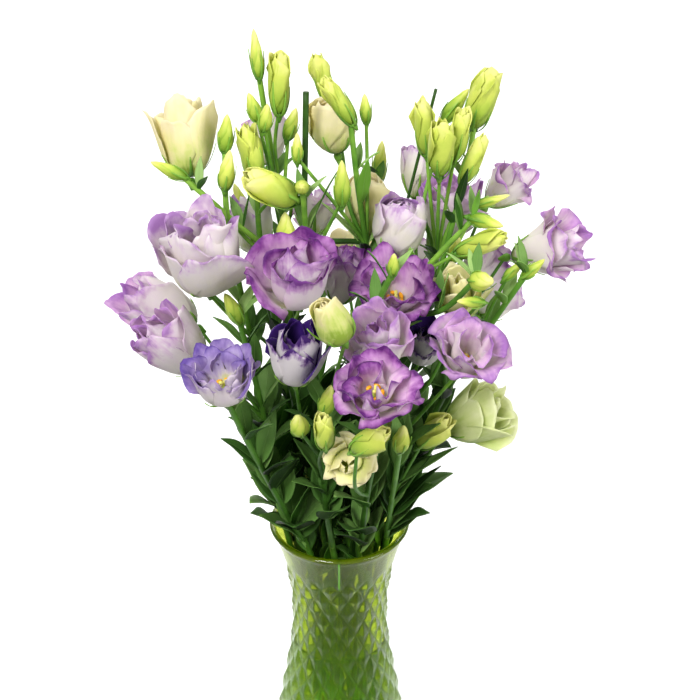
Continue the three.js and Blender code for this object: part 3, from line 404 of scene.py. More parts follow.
def make_head(stem, pixel, depth, faces, breadth, length, **facts):
    """A head whose middle is seen at the pixel, and whose base is half its length behind that."""
    axis = unit(faces)
    return Head(stem, seen(pixel, depth) - axis * length / 2, axis, breadth, length, **facts)


def all_heads():
    """The flowers and the buds, each with its own seed."""
    flowers = [
        make_head(*row[1:7], name=row[0], form=row[7], hue=row[8], seed=i + 1)
        for i, row in enumerate(FLOWERS)
    ]
    buds = [make_head(*row, form="bud", seed=100 + i) for i, row in enumerate(BUDS)]
    return flowers, buds


def calyx_reach(head):
    """How far out the calyx points lean, to pass the corolla's bulge with some room."""
    whorl = FORMS[head.form][0]
    r, z = bezier(whorl.profile, np.arange(whorl.tube, 1, 0.05)).T * [[head.breadth / 2], [head.length]]
    low = z < CALYX["length"]
    lean = (r[low] + CALYX["stand"]) / (z[low] - CALYX["pole"] + CALYX["gap"])
    top = CALYX["length"] - CALYX["pole"] + CALYX["gap"]
    return max(CALYX["least_lean"], *lean) * top if low.any() else CALYX["least_lean"] * top


def room_of(head):
    """The rounded bodies that a head keeps clear: starts, ends and radii."""
    radius = head.breadth / 2
    room = ROOM[head.form]
    low, high, thick = room["core"]
    starts, ends, radii = [[0, 0, low * head.length]], [[0, 0, high * head.length]], [thick * radius]
    if head.form != "bud":
        angle = (np.arange(CALYX["points"]) + 0.5) / CALYX["points"] * 2 * math.pi
        starts += [[0, 0, CALYX_ROOM["start"]]] * CALYX["points"]
        ends += around(calyx_reach(head), angle, CALYX["length"]).tolist()
        radii += [CALYX_ROOM["radius"]] * CALYX["points"]
    if "rim" in room:
        ring = around(radius, whole_turn(ROOM_AROUND), head.length)
        (r0, z0), (r1, z1) = room["rim"]
        starts += (ring * [r0, r0, z0]).tolist()
        ends += (ring * [r1, r1, z1]).tolist()
        radii += [room["thick"] * radius] * ROOM_AROUND
    return head.place(starts), head.place(ends), np.array(radii)


def sweep(start, leaving, end, arriving, count):
    """A cubic curve that leaves along one direction and arrives along another."""
    reach = np.linalg.norm(end - start) * SWEEP_REACH
    corners = [start, start + leaving * reach, end - arriving * reach, end]
    return bezier(corners, np.linspace(0, 1, count))


def fork_index(points, head):
    """The point of the leader where a shoot leaves it: lower for a head that is further out."""
    for i in range(len(points) - 3, 1, -1):
        out = head.base - points[i]
        if out[2] > FORK["rise"] + FORK["per_aside"] * math.hypot(out[0], out[1]):
            return i
    return 1


def make_strands(heads):
    """A main stem to each stem's highest head, and a shoot to each other head from a fork on it."""
    strands = []
    cos, sin = math.cos(SPIRAL["turn"]) * SPIRAL["spread"], math.sin(SPIRAL["turn"]) * SPIRAL["spread"]
    for name, (x, y) in STEMS.items():
        leader, *others = sorted((h for h in heads if h.stem == name), key=lambda h: -h.base[2])
        foot = np.array([x * cos - y * sin, x * sin + y * cos, SPIRAL["foot_height"]])
        lip = np.array([x, y, SPIRAL["lip_height"]], float)
        points = sweep(lip, unit(lip - foot), leader.end, leader.axis, STEM["points"])
        main = len(strands)
        strands.append(Strand(name, leader, points, STEM["radius"], foot))
        for head in others:
            fork = fork_index(points, head)
            along = unit(unit(points[fork + 1] - points[fork]) + unit(head.end - points[fork]))
            shoot = sweep(points[fork], along, head.end, head.axis, SHOOT["points"])
            strands.append(Strand(name, head, shoot, SHOOT["radius"], parent=main, fork=fork))
    return strands


class Bodies:
    """Stretches of stem, and the rooms of heads, as arrays of thick lines."""

    def __init__(self, strands):
        self.first = np.cumsum([0] + [len(s.points) for s in strands])
        counts = [len(s.points) - 1 for s in strands]
        self.owner = np.repeat(np.arange(len(strands)), counts)
        index = np.concatenate([np.arange(n) for n in counts])
        self.low = self.first[self.owner] + index
        self.left = np.array(counts)[self.owner] - index
        self.radius = np.array([s.radius for s in strands])[self.owner]
        rooms = [room_of(s.head) for s in strands]
        self.room_start, self.room_end, self.room_radius = (np.concatenate(part) for part in zip(*rooms))
        self.room_owner = np.repeat(np.arange(len(strands)), [len(room[2]) for room in rooms])

    def all_lines(self, points):
        """Starts, ends and radii of every stretch and room together."""
        starts = np.concatenate([points[self.low], self.room_start])
        ends = np.concatenate([points[self.low + 1], self.room_end])
        return starts, ends, np.concatenate([self.radius, self.room_radius])


def nearest(p, q, r, s):
    """The nearest points of pairs of straight lines p to q and r to s, as shares of each."""
    a, b, c = q - p, s - r, p - r
    dot = functools.partial(np.einsum, "ij,ij->i")
    aa, bb, ab, ac, bc = dot(a, a) + 1e-9, dot(b, b) + 1e-9, dot(a, b), dot(a, c), dot(b, c)
    share = np.clip((ab * bc - ac * bb) / np.maximum(aa * bb - ab * ab, 1e-9), 0, 1)
    other = np.clip((ab * share + bc) / bb, 0, 1)
    return np.clip((ab * other - ac) / aa, 0, 1), other


def push_apart(one, two, keep, pairs):
    """For pairs of thick lines that are too near: which pairs, their shares, and the way apart."""
    (p, q), (r, s) = one, two
    i, j = pairs
    share, other = nearest(p[i], q[i], r[j], s[j])
    away = p[i] + (q[i] - p[i]) * share[:, None] - r[j] - (s[j] - r[j]) * other[:, None]
    distance = np.linalg.norm(away, axis=1)
    hit = (distance < keep) & (distance > 1e-6)
    away = away[hit] * ((keep[hit] - distance[hit]) / distance[hit])[:, None]
    return i[hit], j[hit], share[hit, None], other[hit, None], away


def settle(strands):
    """Bends the stems clear of each other and of the heads, a little in each round."""
    bodies = Bodies(strands)
    points = np.concatenate([s.points for s in strands])
    stem = np.unique([s.stem for s in strands], return_inverse=True)[1][bodies.owner]
    one, two = np.triu_indices(len(stem), 1)
    apart = stem[one] != stem[two]
    one, two = one[apart], two[apart]
    line, room = (a.ravel() for a in np.indices((len(stem), len(bodies.room_radius))))
    own = (bodies.owner[line] == bodies.room_owner[room]) & (bodies.left[line] <= SETTLE["arriving"])
    line, room = line[~own], room[~own]
    room_middle = (bodies.room_start + bodies.room_end) / 2
    room_ball = np.linalg.norm(bodies.room_end - bodies.room_start, axis=1) / 2 + bodies.room_radius
    held = np.zeros(len(points), bool)
    held[bodies.first[:-1]] = held[bodies.first[1:] - 1] = True
    inner = np.flatnonzero(~held)
    shoots = [(start, strand) for start, strand in zip(bodies.first, strands) if strand.parent >= 0]
    shoot_start = np.array([start for start, _ in shoots])
    fork_point = np.array([bodies.first[strand.parent] + strand.fork for _, strand in shoots])
    for round_number in range(SETTLE["rounds"]):
        evening = SETTLE["evening"] * (1 - round_number / SETTLE["rounds"])
        low, high = points[bodies.low], points[bodies.low + 1]
        middle = (low + high) / 2
        ball = np.linalg.norm(high - low, axis=1) / 2 + bodies.radius
        push = np.zeros_like(points)
        reach = ball[one] + ball[two] + SETTLE["clearance"]
        near = np.linalg.norm(middle[one] - middle[two], axis=1) <= reach
        i, j = one[near], two[near]
        keep = bodies.radius[i] + bodies.radius[j] + SETTLE["clearance"]
        i, j, share, other, away = push_apart((low, high), (low, high), keep, (i, j))
        np.add.at(push, bodies.low[i], away * 0.5 * (1 - share))
        np.add.at(push, bodies.low[i] + 1, away * 0.5 * share)
        np.add.at(push, bodies.low[j], -away * 0.5 * (1 - other))
        np.add.at(push, bodies.low[j] + 1, -away * 0.5 * other)
        reach = ball[line] + room_ball[room] + SETTLE["clearance"]
        near = np.linalg.norm(middle[line] - room_middle[room], axis=1) <= reach
        i, j = line[near], room[near]
        keep = bodies.radius[i] + bodies.room_radius[j] + SETTLE["clearance"]
        ends = (bodies.room_start, bodies.room_end)
        i, j, share, other, away = push_apart((low, high), ends, keep, (i, j))
        np.add.at(push, bodies.low[i], away * (1 - share))
        np.add.at(push, bodies.low[i] + 1, away * share)
        length = np.linalg.norm(push, axis=1, keepdims=True)
        push *= np.minimum(1, SETTLE["longest"] / np.maximum(length, 1e-9)) * SETTLE["pace"]
        even = (points[inner - 1] + points[inner + 1]) / 2 - points[inner]
        points[inner] += even * evening + push[inner]
        points[shoot_start] = points[fork_point]
    for strand, start in zip(strands, bodies.first):
        strand.points = points[start:start + len(strand.points)]
    return bodies, points


# Leaves find their places as the frame's do

@dataclass
class Leaf:
    """A leaf blade: where it leaves its stem, which way, how it bends, and its size."""

    stem: str
    root: np.ndarray
    heading: float
    rise: tuple
    length: float
    breadth: float

    def surface(self, across, along):
        """An arc that leaves the stem steeply and bends out, with its sides lifted about the rib.

        The way along turns evenly from the first rise to the last, so the arc is two sines. The
        half breadth is sin(pi * along^0.8), and each side is lifted by a share of it."""
        out = np.array([math.cos(self.heading), math.sin(self.heading), 0])
        side = np.array([-out[1], out[0], 0])
        first, last = np.radians(self.rise)
        bend = last - first
        aside = self.length * (np.cos(first) - np.cos(first + bend * along)) / bend
        up = self.length * (np.sin(first + bend * along) - np.sin(first)) / bend
        half = self.breadth / 2 * np.sin(math.pi * np.clip(along, 0, 1) ** 0.8)
        lift = up + LEAF_FOLD * half * np.abs(across)
        return self.root + aside[..., None] * out + (across * half)[..., None] * side + lift[..., None] * UP


def vase_radius(z):
    """The vase's outer radius at heights: a belly, an S-curve in to the waist, and a flared rim."""
    z = np.asarray(z, float)
    low = 1 - z / VASE["belly_height"]
    belly = VASE["belly"] - (VASE["belly"] - VASE["foot"]) * low * low
    share = (VASE["waist_height"] - z) / (VASE["waist_height"] - VASE["belly_height"])
    waist = VASE["waist"] + (VASE["belly"] - VASE["waist"]) * share * share * (3 - 2 * share)
    above = np.maximum((z - VASE["waist_height"]) / (VASE["height"] - VASE["waist_height"]), 0)
    rim = VASE["waist"] + (VASE["rim"] - VASE["waist"]) * above ** VASE["flare"]
    return np.where(z < VASE["belly_height"], belly, np.where(z < VASE["waist_height"], waist, rim))


def main_stem(strands, name):
    """The main stem of a name."""
    return next(strand for strand in strands if strand.stem == name and strand.parent < 0)


def point_at(strand, height):
    """The point of a main stem at a height."""
    line = np.vstack([strand.foot, strand.points])
    return np.array([np.interp(height, line[:, 2], line[:, axis]) for axis in range(3)])


def tier_places(strands, tiers, rises, first_tier=0):
    """Leaf places in crossed tiers up each main stem, each tier a little scattered in height."""
    places = []
    for number, strand in enumerate(s for s in strands if s.parent < 0):
        for tier, leaf in enumerate(tiers, first_tier):
            root = point_at(strand, leaf["height"] + TIER_SCATTER * (draw(number + 40 * tier) - 0.5))
            first = math.pi * (draw(number + 7) + tier / 2)
            size = (leaf["length"], leaf["breadth"])
            for side in range(leaf["sides"]):
                places.append((strand.stem, root, first + side * math.pi, *size, rises))
    return places


def aimed_places(strands, leaves):
    """Leaf places on the main stems, from which the leaf's tip is seen at a pixel of the photograph."""
    places = []
    for stem, height, tip, depth, breadth in leaves:
        root = point_at(main_stem(strands, stem), height)
        way = seen(tip, depth) - root
        lean = math.degrees(math.atan2(math.hypot(way[0], way[1]), way[2]))
        rises = [(lean - bend, lean + bend) for bend in AIMED_BENDS]
        heading = math.atan2(way[1], way[0])
        places.append((stem, root, heading, np.linalg.norm(way), breadth, rises))
    return places


def fork_places(strands, leaf, rises, sides=1):
    """Leaf places at the forks that a draw picks, out along the shoot, or to both sides of it."""
    places = []
    for number, strand in enumerate(s for s in strands if s.parent >= 0):
        if draw(number + 700) > leaf.get("chance", 1):
            continue
        root = strand.points[0]
        out = strand.points[1] - root
        heading = math.atan2(out[1], out[0]) + (draw(number + 500) - 0.5)
        size = (leaf["length"], leaf["breadth"])
        for side in range(sides):
            places.append((strand.stem, root, heading + side * math.pi, *size, rises))
    return places


def leaf_is_clear(points, lines, others, gap):
    """Whether a leaf's points keep clear of the glass, of every stem and head, and of other leaves."""
    height = VASE["height"]
    room = vase_radius(np.minimum(points[:, 2], height)) - VASE["wall"] - LEAF_GAPS["glass"]
    inside = points[:, 2] < height + LEAF_GAPS["rim"]
    if np.any(inside & (np.hypot(points[:, 0], points[:, 1]) > room)):
        return False
    starts, ends, keep = lines
    way = ends - starts
    share = np.einsum("pbi,bi->pb", points[:, None] - starts, way)
    share = share / (np.einsum("bi,bi->b", way, way) + 1e-9)
    close = starts + np.clip(share, 0, 1)[..., None] * way
    if np.any(np.linalg.norm(points[:, None] - close, axis=2) < keep):
        return False
    return not np.any(np.linalg.norm(points[:, None] - others, axis=2) < gap)


def grow_leaves(strands, bodies, points):
    """Gives each place the first size, turn and rise that keep its leaf clear, or leaves it bare.

    The frame's own leaves come first, so the ones that are added here grow in the room that is left."""
    starts, ends, radius = bodies.all_lines(points)
    stem_of = np.array([s.stem for s in strands])
    owner = np.concatenate([stem_of[bodies.owner], np.full(len(bodies.room_owner), "", stem_of.dtype)])
    across, along = (a.ravel() for a in np.meshgrid(*LEAF_SPOTS))
    taken, leaves = [], []
    places = tier_places(strands, STEM_LEAVES, LEAF_RISES) + fork_places(strands, FORK_LEAF, LEAF_RISES)
    own = len(places)
    places += aimed_places(strands, AIMED_LEAVES)
    places += tier_places(strands, MORE_LEAVES, MORE_RISES, len(STEM_LEAVES))
    places += fork_places(strands, BRACT, MORE_RISES, 2)
    for number, (stem, root, heading, length, breadth, rises) in enumerate(places):
        gaps = LEAF_GAPS if number < own else MORE_GAPS
        near = np.linalg.norm((starts + ends) / 2 - root, axis=1)
        near = near < length + radius + np.linalg.norm(ends - starts, axis=1)
        keep = radius + np.where(owner == stem, gaps["stem"], gaps["other"])
        lines = (starts[near], ends[near], keep[near])
        others = np.concatenate([spots for name, spots in taken if name != stem] or [np.zeros((0, 3))])
        others = others[np.linalg.norm(others - root, axis=1) < LEAF_REACH * length + gaps["leaf"]]
        swings = [(1 if i % 2 else -1) * ((i + 1) // 2) * math.pi / LEAF_TURNS for i in range(LEAF_TURNS)]
        tries = (
            Leaf(stem, root, heading + swing, rise, length * size, breadth * size)
            for size in LEAF_SIZES for swing in swings for rise in rises
        )
        for leaf in tries:
            spots = leaf.surface(across, along)
            if leaf_is_clear(spots, lines, others, gaps["leaf"]):
                leaves.append(leaf)
                taken.append((stem, spots))
                break
    return leaves


@functools.cache
def bunch():
    """The flowers, buds, strands and leaves of the bunch, worked out once."""
    flowers, buds = all_heads()
    strands = make_strands(flowers + buds)
    bodies, points = settle(strands)
    leaves = grow_leaves(strands, bodies, points)
    return SimpleNamespace(flowers=flowers, buds=buds, strands=strands, leaves=leaves)


# Meshes

class Skins:
    """Gathers closed skins into one mesh, with named numbers at their points."""

    def __init__(self):
        self.points, self.quads, self.triangles, self.values, self.count = [], [], [], {}, 0

    def add(self, points, quads, triangles=None, **values):
        """Adds points, four-cornered and three-cornered faces, and a number for each point by name."""
        points = np.asarray(points).reshape(-1, 3)
        self.points.append(points)
        self.quads.append(np.asarray(quads).reshape(-1, 4) + self.count)
        if triangles is not None:
            self.triangles.append(np.asarray(triangles).reshape(-1, 3) + self.count)
        for name, value in values.items():
            value = np.broadcast_to(np.asarray(value, float), len(points))
            self.values.setdefault(name, []).append(value)
        self.count += len(points)

    def piece(self, name, material):
        """The mesh as a smooth object at the origin, in metres."""
        points = np.concatenate(self.points) * MM
        quads = np.concatenate(self.quads)
        triangles = np.concatenate(self.triangles) if self.triangles else np.zeros((0, 3), int)
        corners = np.concatenate([quads.ravel(), triangles.ravel()])
        starts = np.concatenate([np.arange(len(quads)) * 4, len(quads) * 4 + np.arange(len(triangles)) * 3])
        mesh = bpy.data.meshes.new(name)
        mesh.vertices.add(len(points))
        mesh.vertices.foreach_set("co", points.astype(np.float32).ravel())
        mesh.loops.add(len(corners))
        mesh.loops.foreach_set("vertex_index", corners.astype(np.int32))
        mesh.polygons.add(len(starts))
        mesh.polygons.foreach_set("loop_start", starts.astype(np.int32))
        mesh.update(calc_edges=True)
        mesh.validate()
        mesh.shade_smooth()
        for key, parts in self.values.items():
            attribute = mesh.attributes.new(key, "FLOAT", "POINT")
            attribute.data.foreach_set("value", np.concatenate(parts).astype(np.float32))
        mesh.materials.append(material)
        made = bpy.data.objects.new(name, mesh)
        bpy.context.scene.collection.objects.link(made)
        return made


def grid_quads(rows, columns, closed=False):
    """The four-cornered faces of a grid of points, joined round if closed."""
    down = np.arange(rows - 1)[:, None] * columns
    across = np.arange(columns if closed else columns - 1)[None]
    right = (across + 1) % columns
    corners = [down + across, down + right, down + columns + right, down + columns + across]
    return np.stack(corners, -1).reshape(-1, 4)


def blade(skins, middle, thickness, **values):
    """Adds a thin closed blade: a grid of points pushed half its thickness both ways.

    The normal is the way across times the way along. The two skins are joined round the edge, and
    side tells the first skin from the second."""
    rows, columns = middle.shape[:2]
    along, across = np.gradient(middle, axis=(0, 1))
    normal = unit(np.cross(across, along))
    half = np.broadcast_to(np.asarray(thickness, float), (rows, columns))[..., None] / 2
    count = rows * columns
    front = grid_quads(rows, columns)
    edge = np.concatenate([
        np.arange(columns - 1),
        np.arange(rows - 1) * columns + columns - 1,
        count - 1 - np.arange(columns - 1),
        (rows - 1 - np.arange(rows - 1)) * columns,
    ])
    after = np.roll(edge, -1)
    rim = np.stack([after, edge, edge + count, after + count], -1)
    quads = np.concatenate([front, front[:, ::-1] + count, rim])
    points = np.concatenate([middle + normal * half, middle - normal * half])
    doubled = {
        key: np.tile(np.broadcast_to(value, (rows, columns)).ravel(), 2) for key, value in values.items()
    }
    skins.add(points, quads, side=np.repeat([1.0, 0.0], count), **doubled)


def capped(skins, rings, **values):
    """Adds a closed skin of rings, bottom ring first, with a point at each end."""
    rows, columns = rings.shape[:2]
    ends = rings[[0, -1]].mean(axis=1)
    count = rows * columns
    here = np.arange(columns)
    after = np.roll(here, -1)
    bottom = np.stack([after, here, np.full(columns, count)], -1)
    top = np.stack([here, after, np.full(columns, 1)], -1) + [count - columns, count - columns, count]
    flat = {}
    for key, value in values.items():
        value = np.broadcast_to(value, (rows, columns))
        flat[key] = np.concatenate([value.ravel(), [value[0].mean(), value[-1].mean()]])
    points = np.concatenate([rings.reshape(-1, 3), ends])
    skins.add(points, grid_quads(rows, columns, closed=True), np.concatenate([bottom, top]), **flat)


def smooth_line(points, count):
    """A smooth line through points: each span blends its corners and the tangents to its neighbours
    (Catmull and Rom's weights), and the ends are extended by their own first and last spans."""
    points = np.asarray(points, float)
    spans = len(points) - 1
    padded = np.vstack([2 * points[0] - points[1], points, 2 * points[-1] - points[-2]])
    place = np.linspace(0, spans, count)
    span = np.minimum(place.astype(int), spans - 1)
    t = (place - span)[:, None]
    a, b, c, d = (padded[span + i] for i in range(4))
    low = 2 * b + (c - a) * t + (2 * a - 5 * b + 4 * c - d) * t ** 2
    return 0.5 * (low + (3 * b - a - 3 * c + d) * t ** 3)


def rings_along(line, radii, sides):
    """Circles of points square to a line, turned from the direction that the line bends in least."""
    centred = line - line.mean(axis=0)
    reference = np.linalg.svd(centred, full_matrices=False)[2][-1]
    tangent = unit(np.gradient(line, axis=0))
    side = unit(np.cross(tangent, reference))
    other = np.cross(tangent, side)
    angle = whole_turn(sides)[None, :, None]
    circle = side[:, None] * np.cos(angle) + other[:, None] * np.sin(angle)
    return line[:, None] + circle * np.asarray(radii, float)[:, None, None]


# Petals

@dataclass(frozen=True)
class Whorl:
    """A ring of petals. Its profile is a Bezier curve of (share of radius, share of length).

    lap is how far one edge of a petal stands off the next petal's, spread how far the petals lap
    past their share of the circle, round how much the far edge is rounded, tube how far up they are
    grown together, curl how far the margin turns out, turn the whorl's turn in half petals, twist
    how far the petals wind round the flower, in radians, loose how much they differ from each
    other, and close how far they draw in, to leave room for their waves. rows and columns are the
    points along and across a petal."""

    petals: int
    profile: tuple
    lap: float = 0.08
    round: float = 0.24
    ruffle: float = 0.1
    tube: float = 0.3
    spread: float = 0.4
    curl: float = 0.0
    turn: float = 0.0
    twist: float = 0.08
    loose: float = 1.0
    close: float = 0.14
    rows: int = 15
    columns: int = 18


OPEN_OUTER = ((0.06, 0.02), (0.62, 0.16), (0.6, 0.72), (1.02, 0.74))
OPEN_MIDDLE = ((0.07, 0.05), (0.54, 0.2), (0.46, 0.74), (0.84, 0.9))
OPEN_INNER = ((0.08, 0.1), (0.42, 0.3), (0.34, 0.8), (0.56, 1))
CUP_OUTER = ((0.06, 0), (0.8, 0.08), (0.86, 0.6), (1.02, 0.98))
CUP_MIDDLE = ((0.06, 0.04), (0.68, 0.12), (0.72, 0.66), (0.76, 1.1))
CUP_INNER = ((0.06, 0.08), (0.46, 0.2), (0.5, 0.7), (0.4, 1.1))
GOBLET_OUTER = ((0.08, 0), (1.2, 0.14), (1.16, 0.78), (0.5, 1))
GOBLET_MIDDLE = ((0.08, 0.03), (1.06, 0.16), (1, 0.78), (0.26, 1.01))
GOBLET_INNER = ((0.08, 0.06), (0.9, 0.18), (0.86, 0.8), (0.01, 0.98))
BUD_OUTER = ((0.16, -0.08), (1.4, 0.08), (0.98, 0.7), (0.34, 0.96))
BUD_INNER = ((0.12, 0), (1.16, 0.12), (0.86, 0.74), (0.14, 1.04))
WIDE_INNER = ((0.08, 0.1), (0.66, 0.3), (0.6, 0.84), (0.12, 1.04))
OPEN_OUTSIDE = (
    Whorl(5, OPEN_OUTER, ruffle=0.13, curl=0.05),
    Whorl(4, OPEN_MIDDLE, ruffle=0.15, turn=1, curl=0.03, spread=0.3),
)
FORMS = {
    "open": (*OPEN_OUTSIDE, Whorl(3, OPEN_INNER, ruffle=0.16, tube=0.35, turn=0.4, spread=0.1)),
    "wide": (*OPEN_OUTSIDE, Whorl(3, WIDE_INNER, ruffle=0.16, tube=0.35, turn=0.4, spread=0.5)),
    "cup": (
        Whorl(5, CUP_OUTER, round=0.32, ruffle=0.1, curl=0.07),
        Whorl(4, CUP_MIDDLE, round=0.28, ruffle=0.12, turn=1, spread=0.5),
        Whorl(3, CUP_INNER, ruffle=0.14, tube=0.35, turn=0.4, spread=0.3),
    ),
    "goblet": (
        Whorl(4, GOBLET_OUTER, 0.1, 0.2, 0.065, spread=0.7, curl=0.13, twist=0.5, loose=0.45, close=0),
        Whorl(3, GOBLET_MIDDLE, 0.1, 0.14, 0.05, turn=0.5, spread=0.5, curl=0.03, twist=0.7, loose=0.3,
              close=0),
        Whorl(3, GOBLET_INNER, 0.12, 0.12, 0.04, turn=1, spread=0.5, twist=0.9, loose=0.2, close=0),
    ),
    "bud": (
        Whorl(4, BUD_OUTER, 0.14, 0.26, 0.1, 0.1, 0.8, curl=0.34, twist=0.9, loose=0.45, close=0,
              rows=12, columns=11),
        Whorl(3, BUD_INNER, 0.14, 0.2, 0.08, 0.1, 0.6, curl=0.1, turn=0.6, twist=1.1, loose=0.3, close=0,
              rows=12, columns=11),
    ),
}
# A flower whose inner petals open wider than its form's, so that its heart shows
CUP_WIDER = ((0.06, 0.04), (0.66, 0.12), (0.68, 0.62), (0.98, 0.92))
CUP_WIDE = ((0.06, 0.08), (0.54, 0.2), (0.54, 0.6), (0.82, 0.8))
OWN_WHORLS = dict(
    blue_small_left=(
        FORMS["cup"][0],
        Whorl(4, CUP_WIDER, round=0.34, ruffle=0.12, turn=1, spread=0.3),
        Whorl(3, CUP_WIDE, round=0.3, ruffle=0.12, tube=0.35, turn=0.4, spread=0.1),
    ),
)
# Below 1, a petal's rows of points lie closer together towards its margin
CLOSER_ROWS = 0.8
# How strongly each colour's petals are ruffled
RUFFLING = dict(cream=0.8, blush=1.1, lilac=1.15, blue=1.2, purple=1.35, violet=0.9, greenish=0.7)
# The flowers that differ from their form: how jagged their petals' edges are, how far the petals
# draw in, and how much of the green of a petal's foot they keep
RAGGED = dict(white_low=2.4, blue_small_left=2.6, violet_cup=0.4, violet_right=0.5, green_white_low=0.3)
DRAWN_IN = dict(purple_centre=0.0, lilac_right=0.06, blue_small_left=0.17, lilac_far_right=0.02,
                cream_bud_front=0.5, white_low=-0.24, violet_cup=0.06, green_white_low=0.06)
YOUNG = dict(cream_bud_front=0.27, white_low=0.2, cream_right=0.2)
# The notches of a petal's edge: radians across it, depth and which of its draws turns them
NOTCHES = ((5, 0.03, 0), (10, 0.015, 1), (19, 0.005, 5))
# The waves of a petal: radians across it, height, which draw turns them, radians up it, and the
# power with which they grow up it
WAVES = ((2.3, 1, 2, 1.4, 0), (4.5, 0.7, 3, -2, 0), (8.4, 0.3, 4, 3, 2), (15, 0.16, 5, 2, 5))
# Nearly a whole turn, for a wave that a draw turns
DRAWN_TURN = 6.3
# Buds at least this broad and long are about to open, and show their petals' edges at the tip
OPENING = dict(breadth=11, length=27)


def petal_surface(head, whorl, number, across, along):
    """A petal as a grid of points in the flower's own frame, with how near they are to its margin.

    Its profile is turned round the flower's axis. The place on the profile is along, less a share
    of |across|^2.4 and |across|, and three sines, so the far edge is rounded and a little
    notched. Along the profile's normal each point is lifted by: lap times across, so that one edge
    lies over the next petal; four sines of across that grow towards the margin; a roll with the
    cube of across; and a curl with the fourth power of along. The petal's opening, length, place
    and waves are its own draws."""
    radius = head.breadth / 2
    seed = head.seed * 57 + whorl.petals * 7 + whorl.turn * 13 + number * 3
    own = [float(draw(seed + i * 0.37)) for i in range(12)]
    loose = [whorl.loose * (value - 0.5) for value in own]
    free = np.clip(along - whorl.tube, 0, 1) / (1 - whorl.tube)
    notch = sum(deep * np.sin(wide * across + DRAWN_TURN * own[i]) for wide, deep, i in NOTCHES)
    notch *= whorl.loose * RAGGED.get(head.name, 1)
    away = 0.75 * np.abs(across) ** 2.4 + 0.25 * np.abs(across)
    place = along - free * (whorl.round * away + notch * free * free)
    r, z = np.moveaxis(bezier(whorl.profile, place), -1, 0)
    r_on, z_on = np.moveaxis(bezier(whorl.profile, place + 0.01), -1, 0)
    r_slope, z_slope = (r_on - r) * radius, (z_on - z) * head.length
    margin = free ** 1.7 * (0.4 + 0.6 * np.clip(np.maximum(across ** 2, free ** 4), 0, 1))
    wave = sum(
        high * np.sin(wide * across + DRAWN_TURN * own[i] + up * free) * free ** power
        for wide, high, i, up, power in WAVES
    )
    ruffle = whorl.ruffle * RUFFLING.get(head.hue, 1)
    lift = whorl.lap * across * free + ruffle * margin * wave
    lift += whorl.curl * (0.3 + 1.4 * own[7]) * free ** 4
    lift += 0.4 * loose[6] * np.abs(across) ** 3 * free + 0.3 * loose[7] * free ** 2
    offset = lift * radius / np.hypot(r_slope, z_slope)
    drawn_in = DRAWN_IN.get(head.name, whorl.close)
    out = r * radius * (1 + (0.3 * loose[8] - drawn_in) * free) + offset * z_slope
    up = z * head.length * (1 + 0.2 * loose[9] * free) - offset * r_slope
    share = across * (1 + whorl.spread * smooth_step(0, 0.7, free)) + 0.3 * loose[10] * free
    angle = (2 * number + whorl.turn + share) * math.pi / whorl.petals + whorl.twist * free
    return around(out, angle, up), margin, place


def corolla_skins(head, thickness):
    """All the petals of a flower, thinner towards their margins."""
    skins = Skins()
    shift = sum(MOTTLE.values()) / 2 + YOUNG.get(head.name, 0)
    for layer, whorl in enumerate(OWN_WHORLS.get(head.name, FORMS[head.form])):
        across, along = grid(whorl.columns, whorl.rows, bottom=0.01)
        along = along ** CLOSER_ROWS
        for number in range(whorl.petals):
            middle, margin, place = petal_surface(head, whorl, number, across, along)
            tone = draw(head.seed * 5 + layer * 11 + number)
            blade(
                skins,
                head.place(middle),
                thickness * (1 - 0.6 * margin),
                reach=0.72 * place + 0.28 * margin + 0.16 * (tone - 0.5) - shift,
                across=across,
                tone=tone,
            )
    return skins


# Buds, calyces, hearts and cut stubs

# A closed bud: its points round and along, and the petal edges wound round it
BUD = dict(columns=32, rows=16, edges=5)


def bud_skins(skins, head):
    """A closed bud: rings that swell low down and draw in to a slanting tip, with five petal edges
    wound round it. Each edge is a saw wave of (angle / 72 degrees - turns along), so that the skin
    rises slowly and drops at the next edge."""
    columns, rows, edges = BUD["columns"], BUD["rows"], BUD["edges"]
    angle, along = grid(columns + 1, rows, low=0, high=2 * math.pi, bottom=0.015, top=0.985)
    angle, along = angle[:, :-1], along[:, :-1]
    own = [float(draw(head.seed * 3 + i * 0.7)) for i in range(4)]
    belly = np.sin(math.pi * along ** (0.62 + 0.1 * own[0])) ** 0.8
    tip = 0.16 * smooth_step(0.75, 0.9, along) * (1 - along) * 4
    turns = (0.5 + 0.4 * own[1]) * along
    saw = (angle * edges / (2 * math.pi) - turns * edges / 2) % 1
    wound = 1 + 0.13 * (saw - 0.5) * np.sin(math.pi * np.clip(along, 0, 1)) * smooth_step(0, 0.12, saw)
    radius = head.breadth / 2 * (belly + tip) * wound
    z = (along * 1.12 - 0.12) * head.length
    lean = 0.12 * head.breadth * along ** 2 * (own[2] - 0.5) * 2
    rings = around(radius, angle, z)
    rings[..., 0] += lean
    shade = 0.85 * along + 0.3 * (own[3] - 0.5) - 0.22 * saw ** 3
    capped(skins, head.place(rings), side=1.0, shade=shade)


def opening_skins(skins, head):
    """A bud about to open: two close whorls of petals, wound round each other."""
    for whorl in FORMS["bud"]:
        across, along = grid(whorl.columns, whorl.rows, bottom=0.01)
        for number in range(whorl.petals):
            middle, margin, place = petal_surface(head, whorl, number, across, along)
            shade = 0.9 * place + 0.12 * (draw(head.seed * 3 + 0.7 * number) - 0.5) - 0.12 * margin - 0.05
            blade(skins, head.place(middle), 0.6 - 0.3 * margin, shade=shade)


# The outline that a bud's sepals lie along, and their length as a share of it
BUD_SIDE = ((0.3, -0.12), (1.3, 0.06), (0.98, 0.6), (0.5, 0.9))
BUD_SEPALS = 0.62


